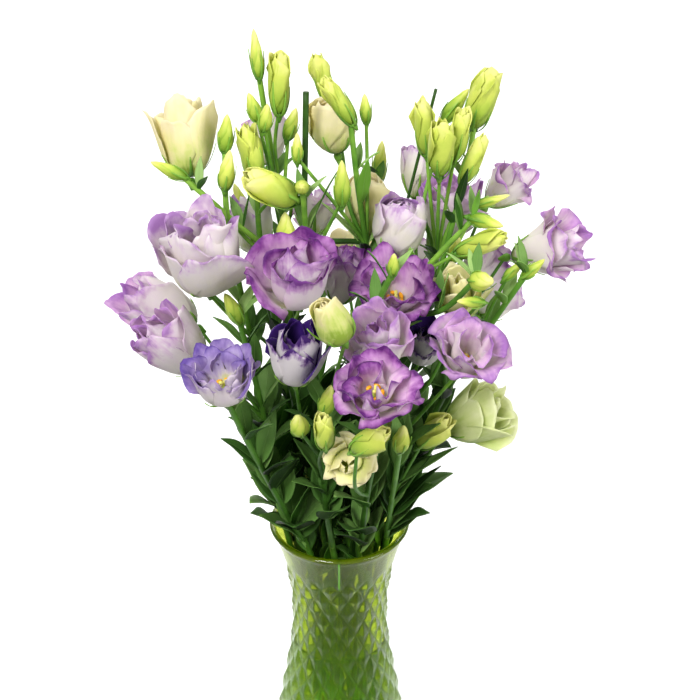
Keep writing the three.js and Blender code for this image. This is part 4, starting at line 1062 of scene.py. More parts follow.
def sepals(skins, head, profile, reach, half, stand):
    """Five narrow sepals that lie along a flower's or bud's own profile, standing off it by more
    towards their fine points. The half breadth falls with (1 - along)^0.6."""
    across, along = grid(3, 8, bottom=0.0, top=0.975)
    for number in range(CALYX["points"]):
        own = float(draw(head.seed * 9 + number))
        angle = (number + 0.5) / CALYX["points"] * 2 * math.pi + 0.3 * (own - 0.5)
        r, z = np.moveaxis(bezier(profile, reach * (0.8 + 0.4 * own) * along), -1, 0)
        off = stand * (0.4 + 0.6 * along + 1.2 * (own - 0.2) * along ** 4)
        out = np.maximum(r * head.breadth / 2, 1.6) + off
        side = half * (1 - along) ** 0.6 * across + 0.05 * across
        points = around(out, angle, z * head.length) + around(side, angle + math.pi / 2, 0)
        blade(skins, head.place(points), 0.5, shade=0.5 + 0.2 * along + 0.2 * own)


def bud_calyx(skins, head):
    """The sepals close round a bud, up to about the half of it, and its receptacle."""
    sepals(skins, head, BUD_SIDE, BUD_SEPALS, 0.5 + 0.05 * head.breadth, 0.75)
    receptacle(skins, head, 1.1 + 0.12 * head.breadth, -0.1 * head.length)


def flower_calyx(skins, head):
    """The sepals along the lower part of a flower, and its receptacle."""
    reach = min(1.0, 1.15 * CALYX["length"] / head.length + 0.2)
    sepals(skins, head, FORMS[head.form][0].profile, reach * 0.9, 1.5, 1.3)
    receptacle(skins, head, 3.0, -3.2)


# The outline of a receptacle, with radii as shares of its own and heights in mm for this radius
RECEPTACLE = dict(outline=((0.35, -4.5), (0.55, -3), (0.9, -1), (1, 0.6), (0.6, 2.2)), radius=2.4)


def receptacle(skins, head, radius, height):
    """The green swelling where a stalk meets its flower or bud."""
    outline = np.array(RECEPTACLE["outline"]) * [radius, radius / RECEPTACLE["radius"]]
    rings = around(outline[:, :1], whole_turn(12), outline[:, 1:] + height)
    capped(skins, head.place(rings), side=1.0, shade=0.6)


# How far below its bend a cut shoot leaves its stem, and how far it starts out upwards
STUB = dict(below=12, upwards=8)


def stub_skin(skins, strands, stem, bottom, top, depth, radius):
    """A shoot that was cut off: it leaves the main stem at the nearest place below, and then runs
    straight between two pixels of the photograph to a flat cut end."""
    low, high = seen(bottom, depth), seen(top, depth)
    line = smooth_line(main_stem(strands, stem).points, 60)
    below = line[line[:, 2] < low[2] - STUB["below"]]
    foot = below[np.argmin(np.linalg.norm(below - low, axis=1))]
    way = unit(high - low)
    corners = (foot, foot + UP * STUB["upwards"], low - way * STUB["below"], low)
    curve = bezier(corners, np.linspace(0, 1, 10))
    path = np.vstack([curve[:-1], low + np.linspace(0, 1, 12)[:, None] * (high - low)])
    capped(skins, rings_along(path, np.full(len(path), radius), 9), side=1.0, shade=0.1)


# A heart, in mm: the pistil's outline as radii and heights, the corners that one lobe of the stigma
# curves along and its radii, and the stamens: how far out and up their threads start and end, the
# thread's radius, and half an anther's way aside and up and its radius
PISTIL = ((0.3, 0), (2.0, 2), (2.1, 5), (1.1, 8), (0.8, 10.5), (0.8, 12))
LOBE = dict(corners=((0, 0, 11), (0.5, 0, 12.4), (2.4, 0, 13.6), (2.9, 0, 12.6)),
            radii=(0.5, 0.8, 1.1, 1.25, 1.2, 0.9, 0.3))
STAMENS = dict(count=5, foot=(1.9, 1), top=(4.4, 9.4), thread=0.3, anther=(2.2, 0.9), thick=1.35)


def heart_skins(head):
    """The ovary, the style with its two-lobed stigma, and five stamens with long yellow anthers.

    part tells the pistil (0), the threads (0.2), the stigma (0.35) and the anthers (1)."""
    skins = Skins()
    own = float(draw(head.seed * 17))
    base = HEART_SEAT[head.form]
    pistil = np.array(PISTIL)
    rings = around(pistil[:, :1], whole_turn(12), pistil[:, 1:] + base)
    capped(skins, head.place(rings), part=0.0)
    for side in (-1, 1):
        line = bezier(np.array(LOBE["corners"]) * [side, 1, 1], np.linspace(0, 1, len(LOBE["radii"])))
        capped(skins, head.place(rings_along(line + UP * base, LOBE["radii"], 10)), part=0.35)
    for number in range(STAMENS["count"]):
        turn = (number + own) / STAMENS["count"] * 2 * math.pi
        out = np.array([math.cos(turn), math.sin(turn), 0])
        aside = np.array([-out[1], out[0], 0])
        foot, top = (out * r + UP * (base + z) for r, z in (STAMENS["foot"], STAMENS["top"]))
        thread = bezier((foot, foot + UP * 4 + out, top - UP * 3, top), np.linspace(0, 1, 8))
        radii = np.full(len(thread), STAMENS["thread"])
        capped(skins, head.place(rings_along(thread, radii, 6)), part=0.2)
        along = np.linspace(-1, 1, 9)
        anther = top + along[:, None] * (aside * STAMENS["anther"][0] + UP * STAMENS["anther"][1])
        radii = STAMENS["thick"] * np.sqrt(1.04 - along ** 2)
        capped(skins, head.place(rings_along(anther, radii, 8)), part=1.0)
    return skins


# Materials

def add_node(tree, kind, feeds=None, stops=(), **settings):
    """Adds a node with its settings and links.

    A setting goes to the node's own property of that name, or else to the socket of that name.
    feeds gives, by a socket's name or number, what to link there, which is an output or a node for
    its first one, or else a value to set. stops are a ramp's places and hex colours."""
    node = tree.nodes.new("ShaderNode" + kind)
    for key, value in settings.items():
        if hasattr(node, key):
            setattr(node, key, value)
        else:
            node.inputs[key.replace("_", " ")].default_value = value
    for key, value in (feeds or {}).items():
        if isinstance(value, bpy.types.Node):
            value = value.outputs[0]
        if isinstance(value, bpy.types.NodeSocket):
            tree.links.new(value, node.inputs[key])
        else:
            node.inputs[key].default_value = value
    if stops:
        elements = node.color_ramp.elements
        while len(elements) < len(stops):
            elements.new(1.0)
        for element, (position, code) in zip(elements, stops):
            element.position = position
            element.color = opaque(code)
    return node


def new_material(name, *marks):
    """An empty node material: itself, its tree, the object's coordinates, and then the numbers that
    its meshes hold under the names in marks."""
    material = bpy.data.materials.new(name)
    material.use_nodes = True
    tree = material.node_tree
    tree.nodes.clear()
    place = add_node(tree, "TexCoord").outputs["Object"]
    numbers = [add_node(tree, "Attribute", attribute_name=mark).outputs["Fac"] for mark in marks]
    return material, tree, place, *numbers


def end_living(tree, colour, bump, through, **gloss):
    """Ends the material of living skin: a share of the light shines through it, and the rest is
    scattered from a surface with a soft gloss."""
    surface = add_node(tree, "BsdfPrincipled", {"Base Color": colour, "Normal": bump}, **gloss)
    glow = add_node(tree, "BsdfTranslucent", {"Color": colour, "Normal": bump})
    mixed = add_node(tree, "MixShader", {1: surface, 2: glow}, Fac=through)
    add_node(tree, "OutputMaterial", {"Surface": mixed})


def end_clear(tree, surface, shadow, **ends):
    """Ends a see-through material: lamps shine through it on to what stands in it, as they do
    through the real one, and its shadow has a colour instead of being dark."""
    thin = add_node(tree, "BsdfTransparent", Color=opaque(shadow))
    lamp = add_node(tree, "LightPath").outputs["Is Shadow Ray"]
    surface = add_node(tree, "MixShader", {0: lamp, 1: surface, 2: thin})
    add_node(tree, "OutputMaterial", {"Surface": surface, **ends})


# For each colour of petal: inside from the throat to the margin, and outside likewise
PETAL_COLOURS = {
    "cream": (
        ((0.0, "#BCCC5C"), (0.25, "#E8E89C"), (0.6, "#F2ECBC"), (1.0, "#F6EED0")),
        ((0.0, "#A2BE48"), (0.2, "#D6E080"), (0.5, "#ECE6AC"), (1.0, "#F3EAC8")),
    ),
    "blush": (
        ((0.0, "#D6DAA8"), (0.2, "#EEE8E0"), (0.55, "#EEE4E8"), (0.75, "#DEC8DE"), (1.0, "#B488C4")),
        ((0.0, "#C4D08C"), (0.2, "#ECE9D6"), (0.75, "#ECE6E4"), (0.9, "#E6D6E2"), (1.0, "#C8A2CE")),
    ),
    "lilac": (
        ((0.0, "#E5E0AC"), (0.22, "#F0E8E2"), (0.48, "#ECDAE6"), (0.75, "#D8B0D8"), (1.0, "#AE7AC0")),
        ((0.0, "#D0D69C"), (0.2, "#EEEAE2"), (0.7, "#EDE5E6"), (0.86, "#DEC6DA"), (1.0, "#BC8EC8")),
    ),
    "blue": (
        ((0.0, "#D6D65C"), (0.22, "#E6E0DC"), (0.42, "#CCBEDE"), (0.72, "#A48CC8"), (1.0, "#6A50A0")),
        ((0.0, "#D6DAAC"), (0.3, "#EEE8E2"), (0.75, "#EADEE2"), (1.0, "#B498C6")),
    ),
    "purple": (
        ((0.0, "#EBE2C2"), (0.18, "#ECDFE4"), (0.46, "#E4C0E0"), (0.7, "#C48CC8"), (0.88, "#94509E"),
         (1.0, "#642876")),
        ((0.0, "#D8DEB2"), (0.2, "#EEE8E4"), (0.62, "#EADEE4"), (0.8, "#CEA4D0"), (1.0, "#864A9A")),
    ),
    "violet": (
        ((0.0, "#CEC2D2"), (0.15, "#785A9E"), (0.4, "#4A2C80"), (1.0, "#361668")),
        ((0.0, "#D8DCBA"), (0.2, "#EDE8E4"), (0.8, "#EAE2E4"), (0.93, "#A484B4"), (1.0, "#4A2870")),
    ),
    "greenish": (
        ((0.0, "#A2C04C"), (0.3, "#CCDC84"), (0.7, "#E6ECB0"), (1.0, "#F2F5CC")),
        ((0.0, "#9ABA44"), (0.25, "#C4D678"), (0.6, "#E0E8A8"), (1.0, "#F0F3C8")),
    ),
}
# How far the cloudy patches and the streaks along a petal shift its colour, from its mean
MOTTLE = dict(cloud=0.95, streak=0.42)


def petal_material(hue):
    """A living petal: soft, a little see-through, with a fine sheen. Colour runs from a pale throat
    to a darker margin, more so inside, in cloudy patches of about 10 mm and in streaks that run
    along the petal, about 2 mm apart, which is coarser than its real veins so that they show."""
    marks = ("reach", "across", "tone", "side")
    material, tree, place, reach, across, tone, side = new_material("petal_" + hue, *marks)
    inside, outside = PETAL_COLOURS[hue]
    cloud = add_node(tree, "TexNoise", {"Vector": place}, Scale=90.0, Detail=3.0)
    fan = add_node(tree, "CombineXYZ", {0: across, 1: reach, 2: tone})
    fan = add_node(tree, "Mapping", {"Vector": fan}, Scale=(6.0, 2.0, 40.0))
    streak = add_node(tree, "TexNoise", {"Vector": fan}, Scale=1.0, Detail=4.0)
    depth = add_node(tree, "Math", {0: cloud, 1: MOTTLE["cloud"], 2: reach}, operation="MULTIPLY_ADD")
    depth = add_node(tree, "Math", {0: streak, 1: MOTTLE["streak"], 2: depth},
                     operation="MULTIPLY_ADD", use_clamp=True)
    within = add_node(tree, "ValToRGB", {"Fac": depth}, inside)
    without = add_node(tree, "ValToRGB", {"Fac": depth}, outside)
    colour = add_node(tree, "Mix", {0: side, 6: within, 7: without}, data_type="RGBA").outputs[2]
    ribs = add_node(tree, "Bump", {"Height": streak}, Strength=0.3, Distance=0.0006)
    bump = add_node(tree, "Bump", {"Height": cloud, "Normal": ribs}, Strength=0.4, Distance=0.0015)
    end_living(tree, colour, bump, 0.4, Roughness=0.5, IOR=1.4, Specular_IOR_Level=0.3,
               Sheen_Weight=0.1, Sheen_Roughness=0.4)
    return material


# A bud's closed petals: yellow-green, greener at the foot and along the wound edges
BUD_GREENS = ((0.25, "#72982C"), (0.5, "#A4BE46"), (0.8, "#CED860"), (1.0, "#E4E48A"))
# A stalk's skin: darker low down, a painted shade where little light reaches into the bunch and the
# vase, paler towards the flowers by a share over a rise from the bottom, and paler again in the water,
# a painted light, from one height down to the other
STALK_GREENS = ((0.2, "#182E08"), (0.5, "#335A1A"), (0.8, "#508028"), (1.0, "#7CA83C"))
STALK_PAINTED_SHADE = dict(share=0.75, bottom=150, rise=420)
WATER_PAINTED_LIGHT = dict(paler=0.5, heights=(150, 95))


def skin_material(name, stops, roughness, through):
    """Smooth living green skin: a ramp of greens over the mesh's own shade, mottled every 10 mm."""
    material, tree, place, shade = new_material(name, "shade")
    cloud = add_node(tree, "TexNoise", {"Vector": place}, Scale=90.0, Detail=4.0)
    shade = add_node(tree, "Math", {0: cloud, 1: 0.5, 2: shade}, operation="MULTIPLY_ADD")
    colour = add_node(tree, "ValToRGB", {"Fac": shade}, stops)
    bump = add_node(tree, "Bump", {"Height": cloud}, Strength=0.3, Distance=0.0008)
    end_living(tree, colour, bump, through, Roughness=roughness, IOR=1.42, Specular_IOR_Level=0.3)
    return material


def leaf_material():
    """A fleshy leaf with a thin grey bloom: dark above, paler below, with a light rib and veins."""
    material, tree, place, across, tone, side = new_material("leaf_dusty_green", "across", "tone", "side")
    cloud = add_node(tree, "TexNoise", {"Vector": place}, Scale=60.0, Detail=5.0)
    shade = add_node(tree, "Math", {0: cloud, 1: 0.5, 2: tone}, operation="MULTIPLY_ADD")
    above = ((0.2, "#122808"), (0.5, "#20420E"), (0.8, "#386A1C"), (1.0, "#6EA438"))
    below = ((0.2, "#3A6024"), (0.6, "#648C42"), (1.0, "#98B86C"))
    above = add_node(tree, "ValToRGB", {"Fac": shade}, above)
    below = add_node(tree, "ValToRGB", {"Fac": shade}, below)
    colour = add_node(tree, "Mix", {0: side, 6: below, 7: above}, data_type="RGBA").outputs[2]
    away = add_node(tree, "Math", {0: across}, operation="ABSOLUTE")
    rib = ((0.0, "#FFFFFF"), (0.05, "#404040"), (0.12, "#000000"), (0.42, "#000000"), (0.47, "#505050"),
           (0.52, "#000000"))
    vein = add_node(tree, "ValToRGB", {"Fac": away}, rib)
    faint = add_node(tree, "Math", {0: vein, 1: 0.45}, operation="MULTIPLY")
    veined = {0: faint, 6: colour, 7: opaque("#86AE5E")}
    colour = add_node(tree, "Mix", veined, data_type="RGBA").outputs[2]
    grooves = add_node(tree, "Bump", {"Height": vein}, Strength=0.5, Distance=0.0006, invert=True)
    bump = add_node(tree, "Bump", {"Height": cloud, "Normal": grooves}, Strength=0.3, Distance=0.001)
    end_living(tree, colour, bump, 0.18, Roughness=0.5, IOR=1.42, Specular_IOR_Level=0.2)
    return material


def heart_material():
    """Matt pollen yellow anthers, pale threads, and a yellow-green pistil."""
    material, tree, place, part = new_material("heart_pollen_yellow", "part")
    yellows = ((0.0, "#A9BC45"), (0.2, "#E6E3B0"), (0.4, "#D8D24A"), (1.0, "#F0A818"))
    colour = add_node(tree, "ValToRGB", {"Fac": part}, yellows)
    grain = add_node(tree, "TexNoise", {"Vector": place}, Scale=1500.0)
    bump = add_node(tree, "Bump", {"Height": grain}, Strength=0.5, Distance=0.0003)
    surface = add_node(tree, "BsdfPrincipled", {"Base Color": colour, "Normal": bump}, Roughness=0.75)
    add_node(tree, "OutputMaterial", {"Surface": surface})
    return material


def glass_material(colour, density):
    """Pressed soda-lime glass, coloured right through: smooth and glossy, IOR 1.52, with a little
    waviness from the mould, and greener the longer light runs in it. A share of the light is
    scattered in it. part tells the net (0) from the plain collar (1), which looks greyer."""
    material, tree, place, part = new_material("pressed_glass_green", "part")
    ripple = add_node(tree, "TexNoise", {"Vector": place}, Scale=45.0, Detail=1.0)
    bump = add_node(tree, "Bump", {"Height": ripple}, Strength=0.15, Distance=0.002)
    tint = add_node(tree, "ValToRGB", {"Fac": part}, ((0.0, "#E4E870"), (1.0, "#E4E498")))
    cloud = add_node(tree, "ValToRGB", {"Fac": part}, ((0.0, "#D4E428"), (1.0, "#F4ECB4")))
    clear = add_node(tree, "BsdfPrincipled", {"Normal": bump, "Base Color": tint},
                     Roughness=0.03, IOR=1.52, Transmission_Weight=1.0)
    milk = add_node(tree, "BsdfTranslucent", {"Color": cloud})
    glass = add_node(tree, "MixShader", {1: clear, 2: milk}, Fac=0.23)
    depth = add_node(tree, "VolumeAbsorption", Color=(*colour, 1), Density=density)
    end_clear(tree, glass, "#C4E08C", Volume=depth)
    return material


def seam_material():
    """The raised seam of the mould, where the green glass is thick and gathers the light."""
    material, tree, _ = new_material("pressed_glass_seam")
    surface = add_node(tree, "BsdfPrincipled", Base_Color=opaque("#538E1C"), Roughness=0.15, IOR=1.52)
    add_node(tree, "OutputMaterial", {"Surface": surface})
    return material


def water_material():
    """Still, clean water: IOR 1.33."""
    material, tree, _ = new_material("clear_water")
    clear = add_node(tree, "BsdfPrincipled", Base_Color=opaque("#F4FAEE"), Roughness=0.0, IOR=1.33,
                     Transmission_Weight=1.0)
    end_clear(tree, clear, "#FFFFFF")
    return material


def stage_material(colour, front):
    """Matt white studio paper with a faint tooth, turned grey in front of the vase as a painted shade, so
    that the glass reflects a dark floor and less light bounces up from below.
    """
    material, tree, place = new_material("studio_paper")
    tooth = add_node(tree, "TexNoise", {"Vector": place}, Scale=400.0)
    bump = add_node(tree, "Bump", {"Height": tooth}, Strength=0.05, Distance=0.0005)
    # Painted shade: the floor turns grey in front of the vase
    depth = add_node(tree, "SeparateXYZ", {"Vector": place}).outputs["Y"]
    share = add_node(tree, "MapRange", {"Value": depth}, From_Min=-0.2, From_Max=0.02)
    shades = {0: share, 6: (*front, 1), 7: (*colour, 1)}
    shade = add_node(tree, "Mix", shades, data_type="RGBA").outputs[2]
    surface = add_node(tree, "BsdfPrincipled", {"Base Color": shade, "Normal": bump}, Roughness=0.9)
    add_node(tree, "OutputMaterial", {"Surface": surface})
    return material


# What a user may change

class VaseSettings(bpy.types.PropertyGroup):
    """The glass vase and the water in it."""

    glass: FloatVectorProperty(name="Glass", description="Colour that the glass lets through",
                               default=linear("#CCE220"), subtype="COLOR", min=0, max=1)
    density: FloatProperty(name="Density", description="How strongly the glass is coloured", default=150)
    rows: IntProperty(name="Rows", description="Points up the glass for each half diamond, and twice "
                      "as many round it for a whole one", default=8, min=4)


class PetalSettings(bpy.types.PropertyGroup):
    """The petals."""

    thickness: FloatProperty(name="Thickness", description="Thickness of a petal near its foot",
                             default=0.55 * MM, unit="LENGTH")


class LeafSettings(bpy.types.PropertyGroup):
    """The stalks and leaves."""

    thickness: FloatProperty(name="Thickness", description="Thickness of a leaf", default=0.8 * MM,
                             unit="LENGTH")
    stalk_sides: IntProperty(name="Stalk sides", description="Points round a stalk", default=9, min=5)


class StageSettings(bpy.types.PropertyGroup):
    """The studio."""

    floor: FloatVectorProperty(name="Floor", description="Colour of the paper floor",
                               default=linear("#FDFDFC"), subtype="COLOR", min=0, max=1)
    # Front is the painted shade of the floor in front of the paper, which darkens what the glass reflects
    front: FloatVectorProperty(name="Front", description="Colour of the table in front of the paper",
                               default=linear("#8A8A88"), subtype="COLOR", min=0, max=1)
    key: FloatProperty(name="Key light", description="Power of the large soft light", default=6.2,
                       unit="POWER")
    paper: FloatProperty(name="Paper light", default=10.5,
                         description="Light over the paper behind, for each of the key's")
    sky: FloatProperty(name="Sky", description="Strength of the light from all round", default=0.45)


# One operator for each group of pieces

def finish_piece(made, nodes):
    """Rides a piece on the root, and hides the frame nodes that it stands for."""
    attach(made, "root")
    if nodes:
        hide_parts(*nodes)


class BUNCH_OT_vase(bpy.types.Operator):
    """Makes the pressed-glass vase, with its net of diamonds"""

    bl_idname = "bunch.vase"
    bl_label = "Vase"

    def execute(self, context):
        """The wall is one closed sheet of rings: up the outside, over the lip, and down the inside.
        The diamonds are low pyramids: the relief falls evenly with the greater of the distances
        from the cell's middle along the two slanting directions. Two seams of the mould stand out
        on the collar, in front and behind, as thin rods half sunk in the glass."""
        settings = context.scene.bunch_vase
        skins = Skins()
        columns = NET["diamonds"] * 2 * settings.rows
        step = (NET["top"] - NET["bottom"]) / NET["rows"]
        net = np.linspace(NET["bottom"] - step, NET["top"] + step, (NET["rows"] + 2) * settings.rows + 1)
        foot = np.concatenate([[0.0, 0.6, 1.8], np.linspace(3.5, net[0] - 1, 8)])
        collar = np.linspace(net[-1] + 2, VASE["height"] - VASE["lip_height"], 8)
        heights = np.concatenate([foot, net, collar])
        angle = whole_turn(columns)
        up = (heights[:, None] - NET["bottom"]) / step / 2
        turned = angle[None] * NET["diamonds"] / (2 * math.pi)
        first, second = (turned + up) % 1, (turned - up) % 1
        slant = np.maximum(np.abs(first - 0.5), np.abs(second - 0.5)) * 2
        inside = smooth_step(NET["bottom"] - step, NET["bottom"], heights)
        inside *= smooth_step(NET["top"] + step, NET["top"], heights)
        relief = NET["relief"] * (1.1 - 2.1 * slant) * inside[:, None]
        plain = smooth_step(NET["top"], NET["top"] + step, heights)[:, None]
        edge = FOOT_EDGE["round"] * (1 - np.clip(heights / FOOT_EDGE["height"], 0, 1)) ** 2
        outer = vase_radius(heights)[:, None] - edge[:, None] + relief
        lip = np.linspace(0, math.pi, 13)[1:-1]
        half_wall = VASE["wall"] / 2
        lip_radius = VASE["rim"] - half_wall + (half_wall + LIP["out"]) * np.cos(lip)
        lip_height = VASE["height"] - half_wall - LIP["up"] + (half_wall + LIP["up"]) * np.sin(lip)
        inner_height = np.linspace(VASE["height"] - VASE["lip_height"], VASE["floor"] + CORNER, 30)
        inner_radius = vase_radius(inner_height) - VASE["wall"]
        bowl = np.linspace(0, math.pi / 2, 8)[1:]
        bowl_radius = vase_radius(VASE["floor"]) - VASE["wall"] - CORNER * (1 - np.cos(bowl))
        bowl_height = VASE["floor"] + CORNER * (1 - np.sin(bowl))
        plain_radius = np.concatenate([lip_radius, inner_radius, bowl_radius])[:, None]
        radius = np.concatenate([outer, np.tile(plain_radius, columns)])
        height = np.concatenate([heights, lip_height, inner_height, bowl_height])[:, None]
        rings = around(radius, angle, height)
        part = np.zeros(radius.shape)
        part[:len(heights)] = plain
        capped(skins, rings, part=part)
        material = glass_material(tuple(settings.glass), settings.density)
        finish_piece(skins.piece("vase_glass_wall", material), ["vase"])
        height = np.linspace(SEAM["bottom"], SEAM["top"], 14)
        line = np.stack([0 * height, vase_radius(height), height], -1)
        skins = Skins()
        for side in (1, -1):
            capped(skins, rings_along(line * [1, side, 1], np.full(len(line), SEAM["radius"]), 10))
        finish_piece(skins.piece("vase_mould_seam", seam_material()), ["vase"])
        return {"FINISHED"}


class BUNCH_OT_water(bpy.types.Operator):
    """Makes the water, with its meniscus against the glass"""

    bl_idname = "bunch.water"
    bl_label = "Water"

    def execute(self, context):
        """A closed sheet of rings: the inside of the vase up to the level, with the top's edge
        lifted by a falling power of the distance from the glass."""
        skins = Skins()
        bottom = VASE["floor"] - WATER["overlap"]
        heights = np.linspace(bottom, WATER["level"] + WATER["meniscus"], 40)
        wall = vase_radius(heights) - VASE["wall"] + WATER["overlap"]
        share = np.linspace(0.97, 0.1, 10)
        top = WATER["level"] + WATER["meniscus"] * share ** 24
        radius = np.concatenate([[wall[0] - 6], wall, share * wall[-1]])
        height = np.concatenate([[bottom - 0.05], heights, top])
        capped(skins, around(radius[:, None], whole_turn(96), height[:, None]))
        finish_piece(skins.piece("water_body", water_material()), ["water"])
        return {"FINISHED"}


class BUNCH_OT_corollas(bpy.types.Operator):
    """Makes each flower's petals in their whorls"""

    bl_idname = "bunch.corollas"
    bl_label = "Corollas"

    def execute(self, context):
        thickness = context.scene.bunch_petals.thickness / MM
        materials = {hue: petal_material(hue) for hue in PETAL_COLOURS}
        for head in bunch().flowers:
            made = corolla_skins(head, thickness).piece("petals_" + head.name, materials[head.hue])
            finish_piece(made, ["corolla_" + head.name])
        return {"FINISHED"}


class BUNCH_OT_hearts(bpy.types.Operator):
    """Makes the pistil and stamens in each flower that shows its centre"""

    bl_idname = "bunch.hearts"
    bl_label = "Hearts"

    def execute(self, context):
        material = heart_material()
        for head in bunch().flowers:
            if head.form not in HEART_SEAT:
                continue
            made = heart_skins(head).piece("pistil_stamens_" + head.name, material)
            node = "heart_" + head.name
            finish_piece(made, [node] if node in frame["nodes"] else [])
        return {"FINISHED"}


class BUNCH_OT_stalks(bpy.types.Operator):
    """Makes each stem with its side shoots, calyces and cut shoots"""

    bl_idname = "bunch.stalks"
    bl_label = "Stalks"

    def execute(self, context):
        """A stalk is rings along a smooth line through its points, thinner towards its head, with a
        slight swelling at its foot."""
        sides = context.scene.bunch_leaves.stalk_sides
        material = skin_material("stalk_green", STALK_GREENS, roughness=0.5, through=0.0)
        strands = bunch().strands
        for name in STEMS:
            skins = Skins()
            for number, strand in enumerate(s for s in strands if s.stem == name):
                is_shoot = strand.foot is None
                points = strand.points if is_shoot else np.vstack([strand.foot, strand.points])
                line = smooth_line(points, STALK["rings"] * len(points))
                share = np.linspace(0, 1, len(line))
                radii = strand.radius * (1 - STALK["thins"] * share)
                if is_shoot:
                    radii = radii * (1 + STALK["swells"] * np.exp(-share * STALK["falls"]))
                # Painted shade, darker low in the bunch and the vase, and painted light, paler in the water
                shade = (line[:, 2] - STALK_PAINTED_SHADE["bottom"]) / STALK_PAINTED_SHADE["rise"]
                shade = STALK_PAINTED_SHADE["share"] * np.clip(shade, 0, 1)
                shade += WATER_PAINTED_LIGHT["paler"] * smooth_step(*WATER_PAINTED_LIGHT["heights"], line[:, 2])
                shade = shade[:, None] + 0.3 * (draw(strand.head.seed + number) - 0.5)
                capped(skins, rings_along(line, radii, sides), side=1.0, shade=shade)
                calyx = bud_calyx if strand.head.form == "bud" else flower_calyx
                calyx(skins, strand.head)
            for stub in (row for row in STUBS if row["stem"] == name):
                stub_skin(skins, strands, **stub)
            finish_piece(skins.piece("stalks_" + name, material), ["stem_" + name])
        return {"FINISHED"}


class BUNCH_OT_buds(bpy.types.Operator):
    """Makes the buds on each stem, closed or about to open"""

    bl_idname = "bunch.buds"
    bl_label = "Buds"

    def execute(self, context):
        material = skin_material("bud_yellow_green", BUD_GREENS, roughness=0.45, through=0.2)
        buds = bunch().buds
        for name in STEMS:
            own = [bud for bud in buds if bud.stem == name]
            if not own:
                continue
            skins = Skins()
            for bud in own:
                opens = bud.breadth >= OPENING["breadth"] and bud.length >= OPENING["length"]
                (opening_skins if opens else bud_skins)(skins, bud)
            finish_piece(skins.piece("buds_" + name, material), ["stem_" + name])
        return {"FINISHED"}


class BUNCH_OT_leaves(bpy.types.Operator):
    """Makes the leaves on each stem"""

    bl_idname = "bunch.leaves"
    bl_label = "Leaves"

    def execute(self, context):
        """A leaf is its arc, with a groove along the rib and a slow wave towards its edges."""
        thickness = context.scene.bunch_leaves.thickness / MM
        material = leaf_material()
        leaves = bunch().leaves
        across, along = grid(9, 12, bottom=0.004, top=0.985)
        for name in STEMS:
            own = [leaf for leaf in leaves if leaf.stem == name]
            if not own:
                continue
            skins = Skins()
            for number, leaf in enumerate(own):
                drawn = draw(leaf.heading * 10 + number)
                high = PALER_UP["share"] * smooth_step(*PALER_UP["heights"], leaf.root[2])
                middle = leaf.surface(across, along)
                wave = np.sin(LEAF_WAVE["along"] * along + DRAWN_TURN * drawn) * across ** 2
                groove = np.exp(-(across / LEAF_GROOVE["width"]) ** 2)
                wave = LEAF_WAVE["height"] * wave - LEAF_GROOVE["depth"] * groove
                middle[..., 2] += leaf.breadth * wave * np.sin(math.pi * along)
                blade(skins, middle, thickness * (1 - 0.55 * across ** 2), across=across,
                      tone=0.7 * (drawn - 0.3) + high)
            finish_piece(skins.piece("leaves_" + name, material), ["stem_" + name])
        return {"FINISHED"}


# The paper: where it starts and bends, how wide the bend and the half of it are, and how high it goes
PAPER = dict(front=-3000, bend=2600, radius=700, half=4000, top=3600)
# The lamps: where they stand and aim, in metres, how large they are, and their beams in degrees
LAMPS = dict(
    key_light=dict(place=(-0.7, -1.4, 1.7), aim=(0, 0, 0.4), size=0.8, spread=60),
    fill_light=dict(place=(1.5, -1.1, 0.8), aim=(0, 0, 0.4), size=1.0, spread=60),
    paper_light=dict(place=(0, 1.9, 2.4), aim=(0, 1.9, 0), size=2.6, spread=180),
)
FILL_SHARE = 0.6


def add_light(name, place, aim, size, power, spread):
    """A square soft light that faces a point, with a beam of a given width in degrees."""
    data = bpy.data.lights.new(name, "AREA")
    data.size = size
    data.energy = power
    data.spread = math.radians(spread)
    light = bpy.data.objects.new(name, data)
    light.location = place
    light.rotation_euler = (Vector(aim) - Vector(place)).to_track_quat("-Z", "Y").to_euler()
    bpy.context.scene.collection.objects.link(light)


class BUNCH_OT_stage(bpy.types.Operator):
    """Makes the paper floor that sweeps up behind, the soft lights and the camera"""

    bl_idname = "bunch.stage"
    bl_label = "Stage"

    def execute(self, context):
        """The paper is a floor, a quarter circle and an upright wall, carried sideways."""
        settings = context.scene.bunch_stage
        bend = np.linspace(0, math.pi / 2, 12)
        back = PAPER["bend"] + PAPER["radius"]
        depth = np.concatenate([[PAPER["front"]], PAPER["bend"] + PAPER["radius"] * np.sin(bend), [back]])
        height = np.concatenate([[0], PAPER["radius"] * (1 - np.cos(bend)), [PAPER["top"]]])
        side = np.array([-PAPER["half"], PAPER["half"]])
        skins = Skins()
        points = np.stack(np.broadcast_arrays(side, depth[:, None], height[:, None]), -1)
        skins.add(points, grid_quads(len(depth), len(side)))
        paper = stage_material(tuple(settings.floor), tuple(settings.front))
        skins.piece("paper_floor", paper)
        shares = dict(key_light=1, fill_light=FILL_SHARE, paper_light=settings.paper)
        for name, lamp in LAMPS.items():
            add_light(name, power=settings.key * shares[name], **lamp)
        world = bpy.data.worlds.new("studio_sky")
        world.use_nodes = True
        sky = world.node_tree.nodes["Background"]
        sky.inputs["Color"].default_value = (1, 1, 1, 1)
        sky.inputs["Strength"].default_value = settings.sky
        context.scene.world = world
        context.scene.view_settings.view_transform = "Standard"
        add_camera()
        return {"FINISHED"}


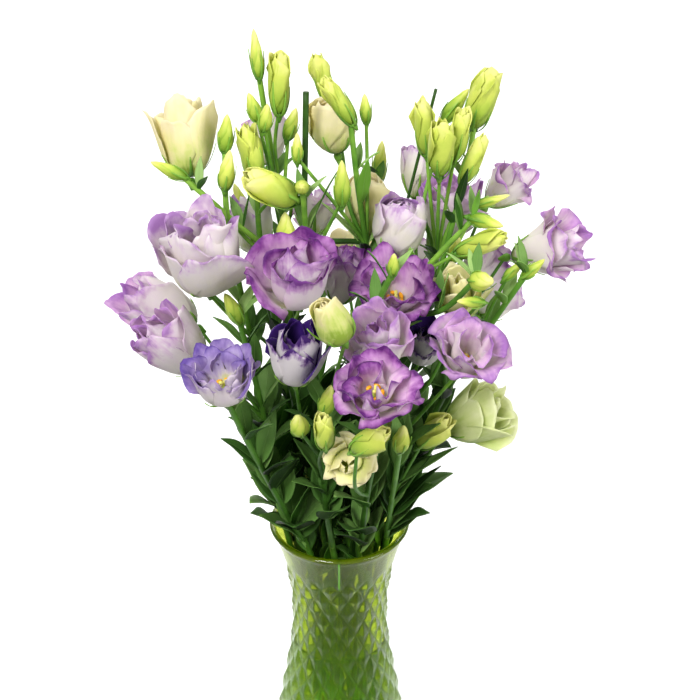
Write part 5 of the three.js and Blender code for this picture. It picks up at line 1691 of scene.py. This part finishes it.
def add_camera():
    """The photograph's camera: 36 mm across 700 pixels, and a lens of 36 times focal over 700."""
    data = bpy.data.cameras.new("photo_camera")
    data.sensor_width = 36
    data.lens = 36 * CAMERA["focal"] / (2 * CAMERA["centre"])
    data.clip_start, data.clip_end = 0.05, 30
    camera = bpy.data.objects.new("photo_camera", data)
    camera.location = np.array(CAMERA["eye"]) * MM
    camera.rotation_euler = (math.radians(90 - CAMERA["look_down"]), 0, 0)
    bpy.context.scene.collection.objects.link(camera)
    bpy.context.scene.camera = camera


class BUNCH_PT_panel(bpy.types.Panel):
    """Lists the settings and the steps"""

    bl_idname = "BUNCH_PT_panel"
    bl_label = "Lisianthus Bunch"
    bl_space_type = "VIEW_3D"
    bl_region_type = "UI"
    bl_category = "Bunch"

    def draw(self, context):
        for group in SETTINGS:
            box = self.layout.box()
            settings = getattr(context.scene, group)
            for key in settings.__annotations__:
                box.prop(settings, key)
        for operator in OPERATORS:
            self.layout.operator(operator.bl_idname)


SETTINGS = dict(bunch_vase=VaseSettings, bunch_petals=PetalSettings, bunch_leaves=LeafSettings,
                bunch_stage=StageSettings)
OPERATORS = (BUNCH_OT_stage, BUNCH_OT_vase, BUNCH_OT_water, BUNCH_OT_stalks, BUNCH_OT_buds,
             BUNCH_OT_leaves, BUNCH_OT_corollas, BUNCH_OT_hearts)
CLASSES = (*SETTINGS.values(), *OPERATORS, BUNCH_PT_panel)


def register():
    """Registers the classes and hangs their settings on the scene."""
    for item in CLASSES:
        bpy.utils.register_class(item)
    for name, group in SETTINGS.items():
        setattr(bpy.types.Scene, name, PointerProperty(type=group))


def unregister():
    """Takes the settings and the classes away again."""
    for name in SETTINGS:
        delattr(bpy.types.Scene, name)
    for item in reversed(CLASSES):
        bpy.utils.unregister_class(item)


def main():
    """Makes everything round the frame."""
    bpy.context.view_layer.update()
    register()
    for operator in OPERATORS:
        group, name = operator.bl_idname.split(".")
        getattr(getattr(bpy.ops, group), name)()
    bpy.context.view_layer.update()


if __name__ == "__main__":
    main()
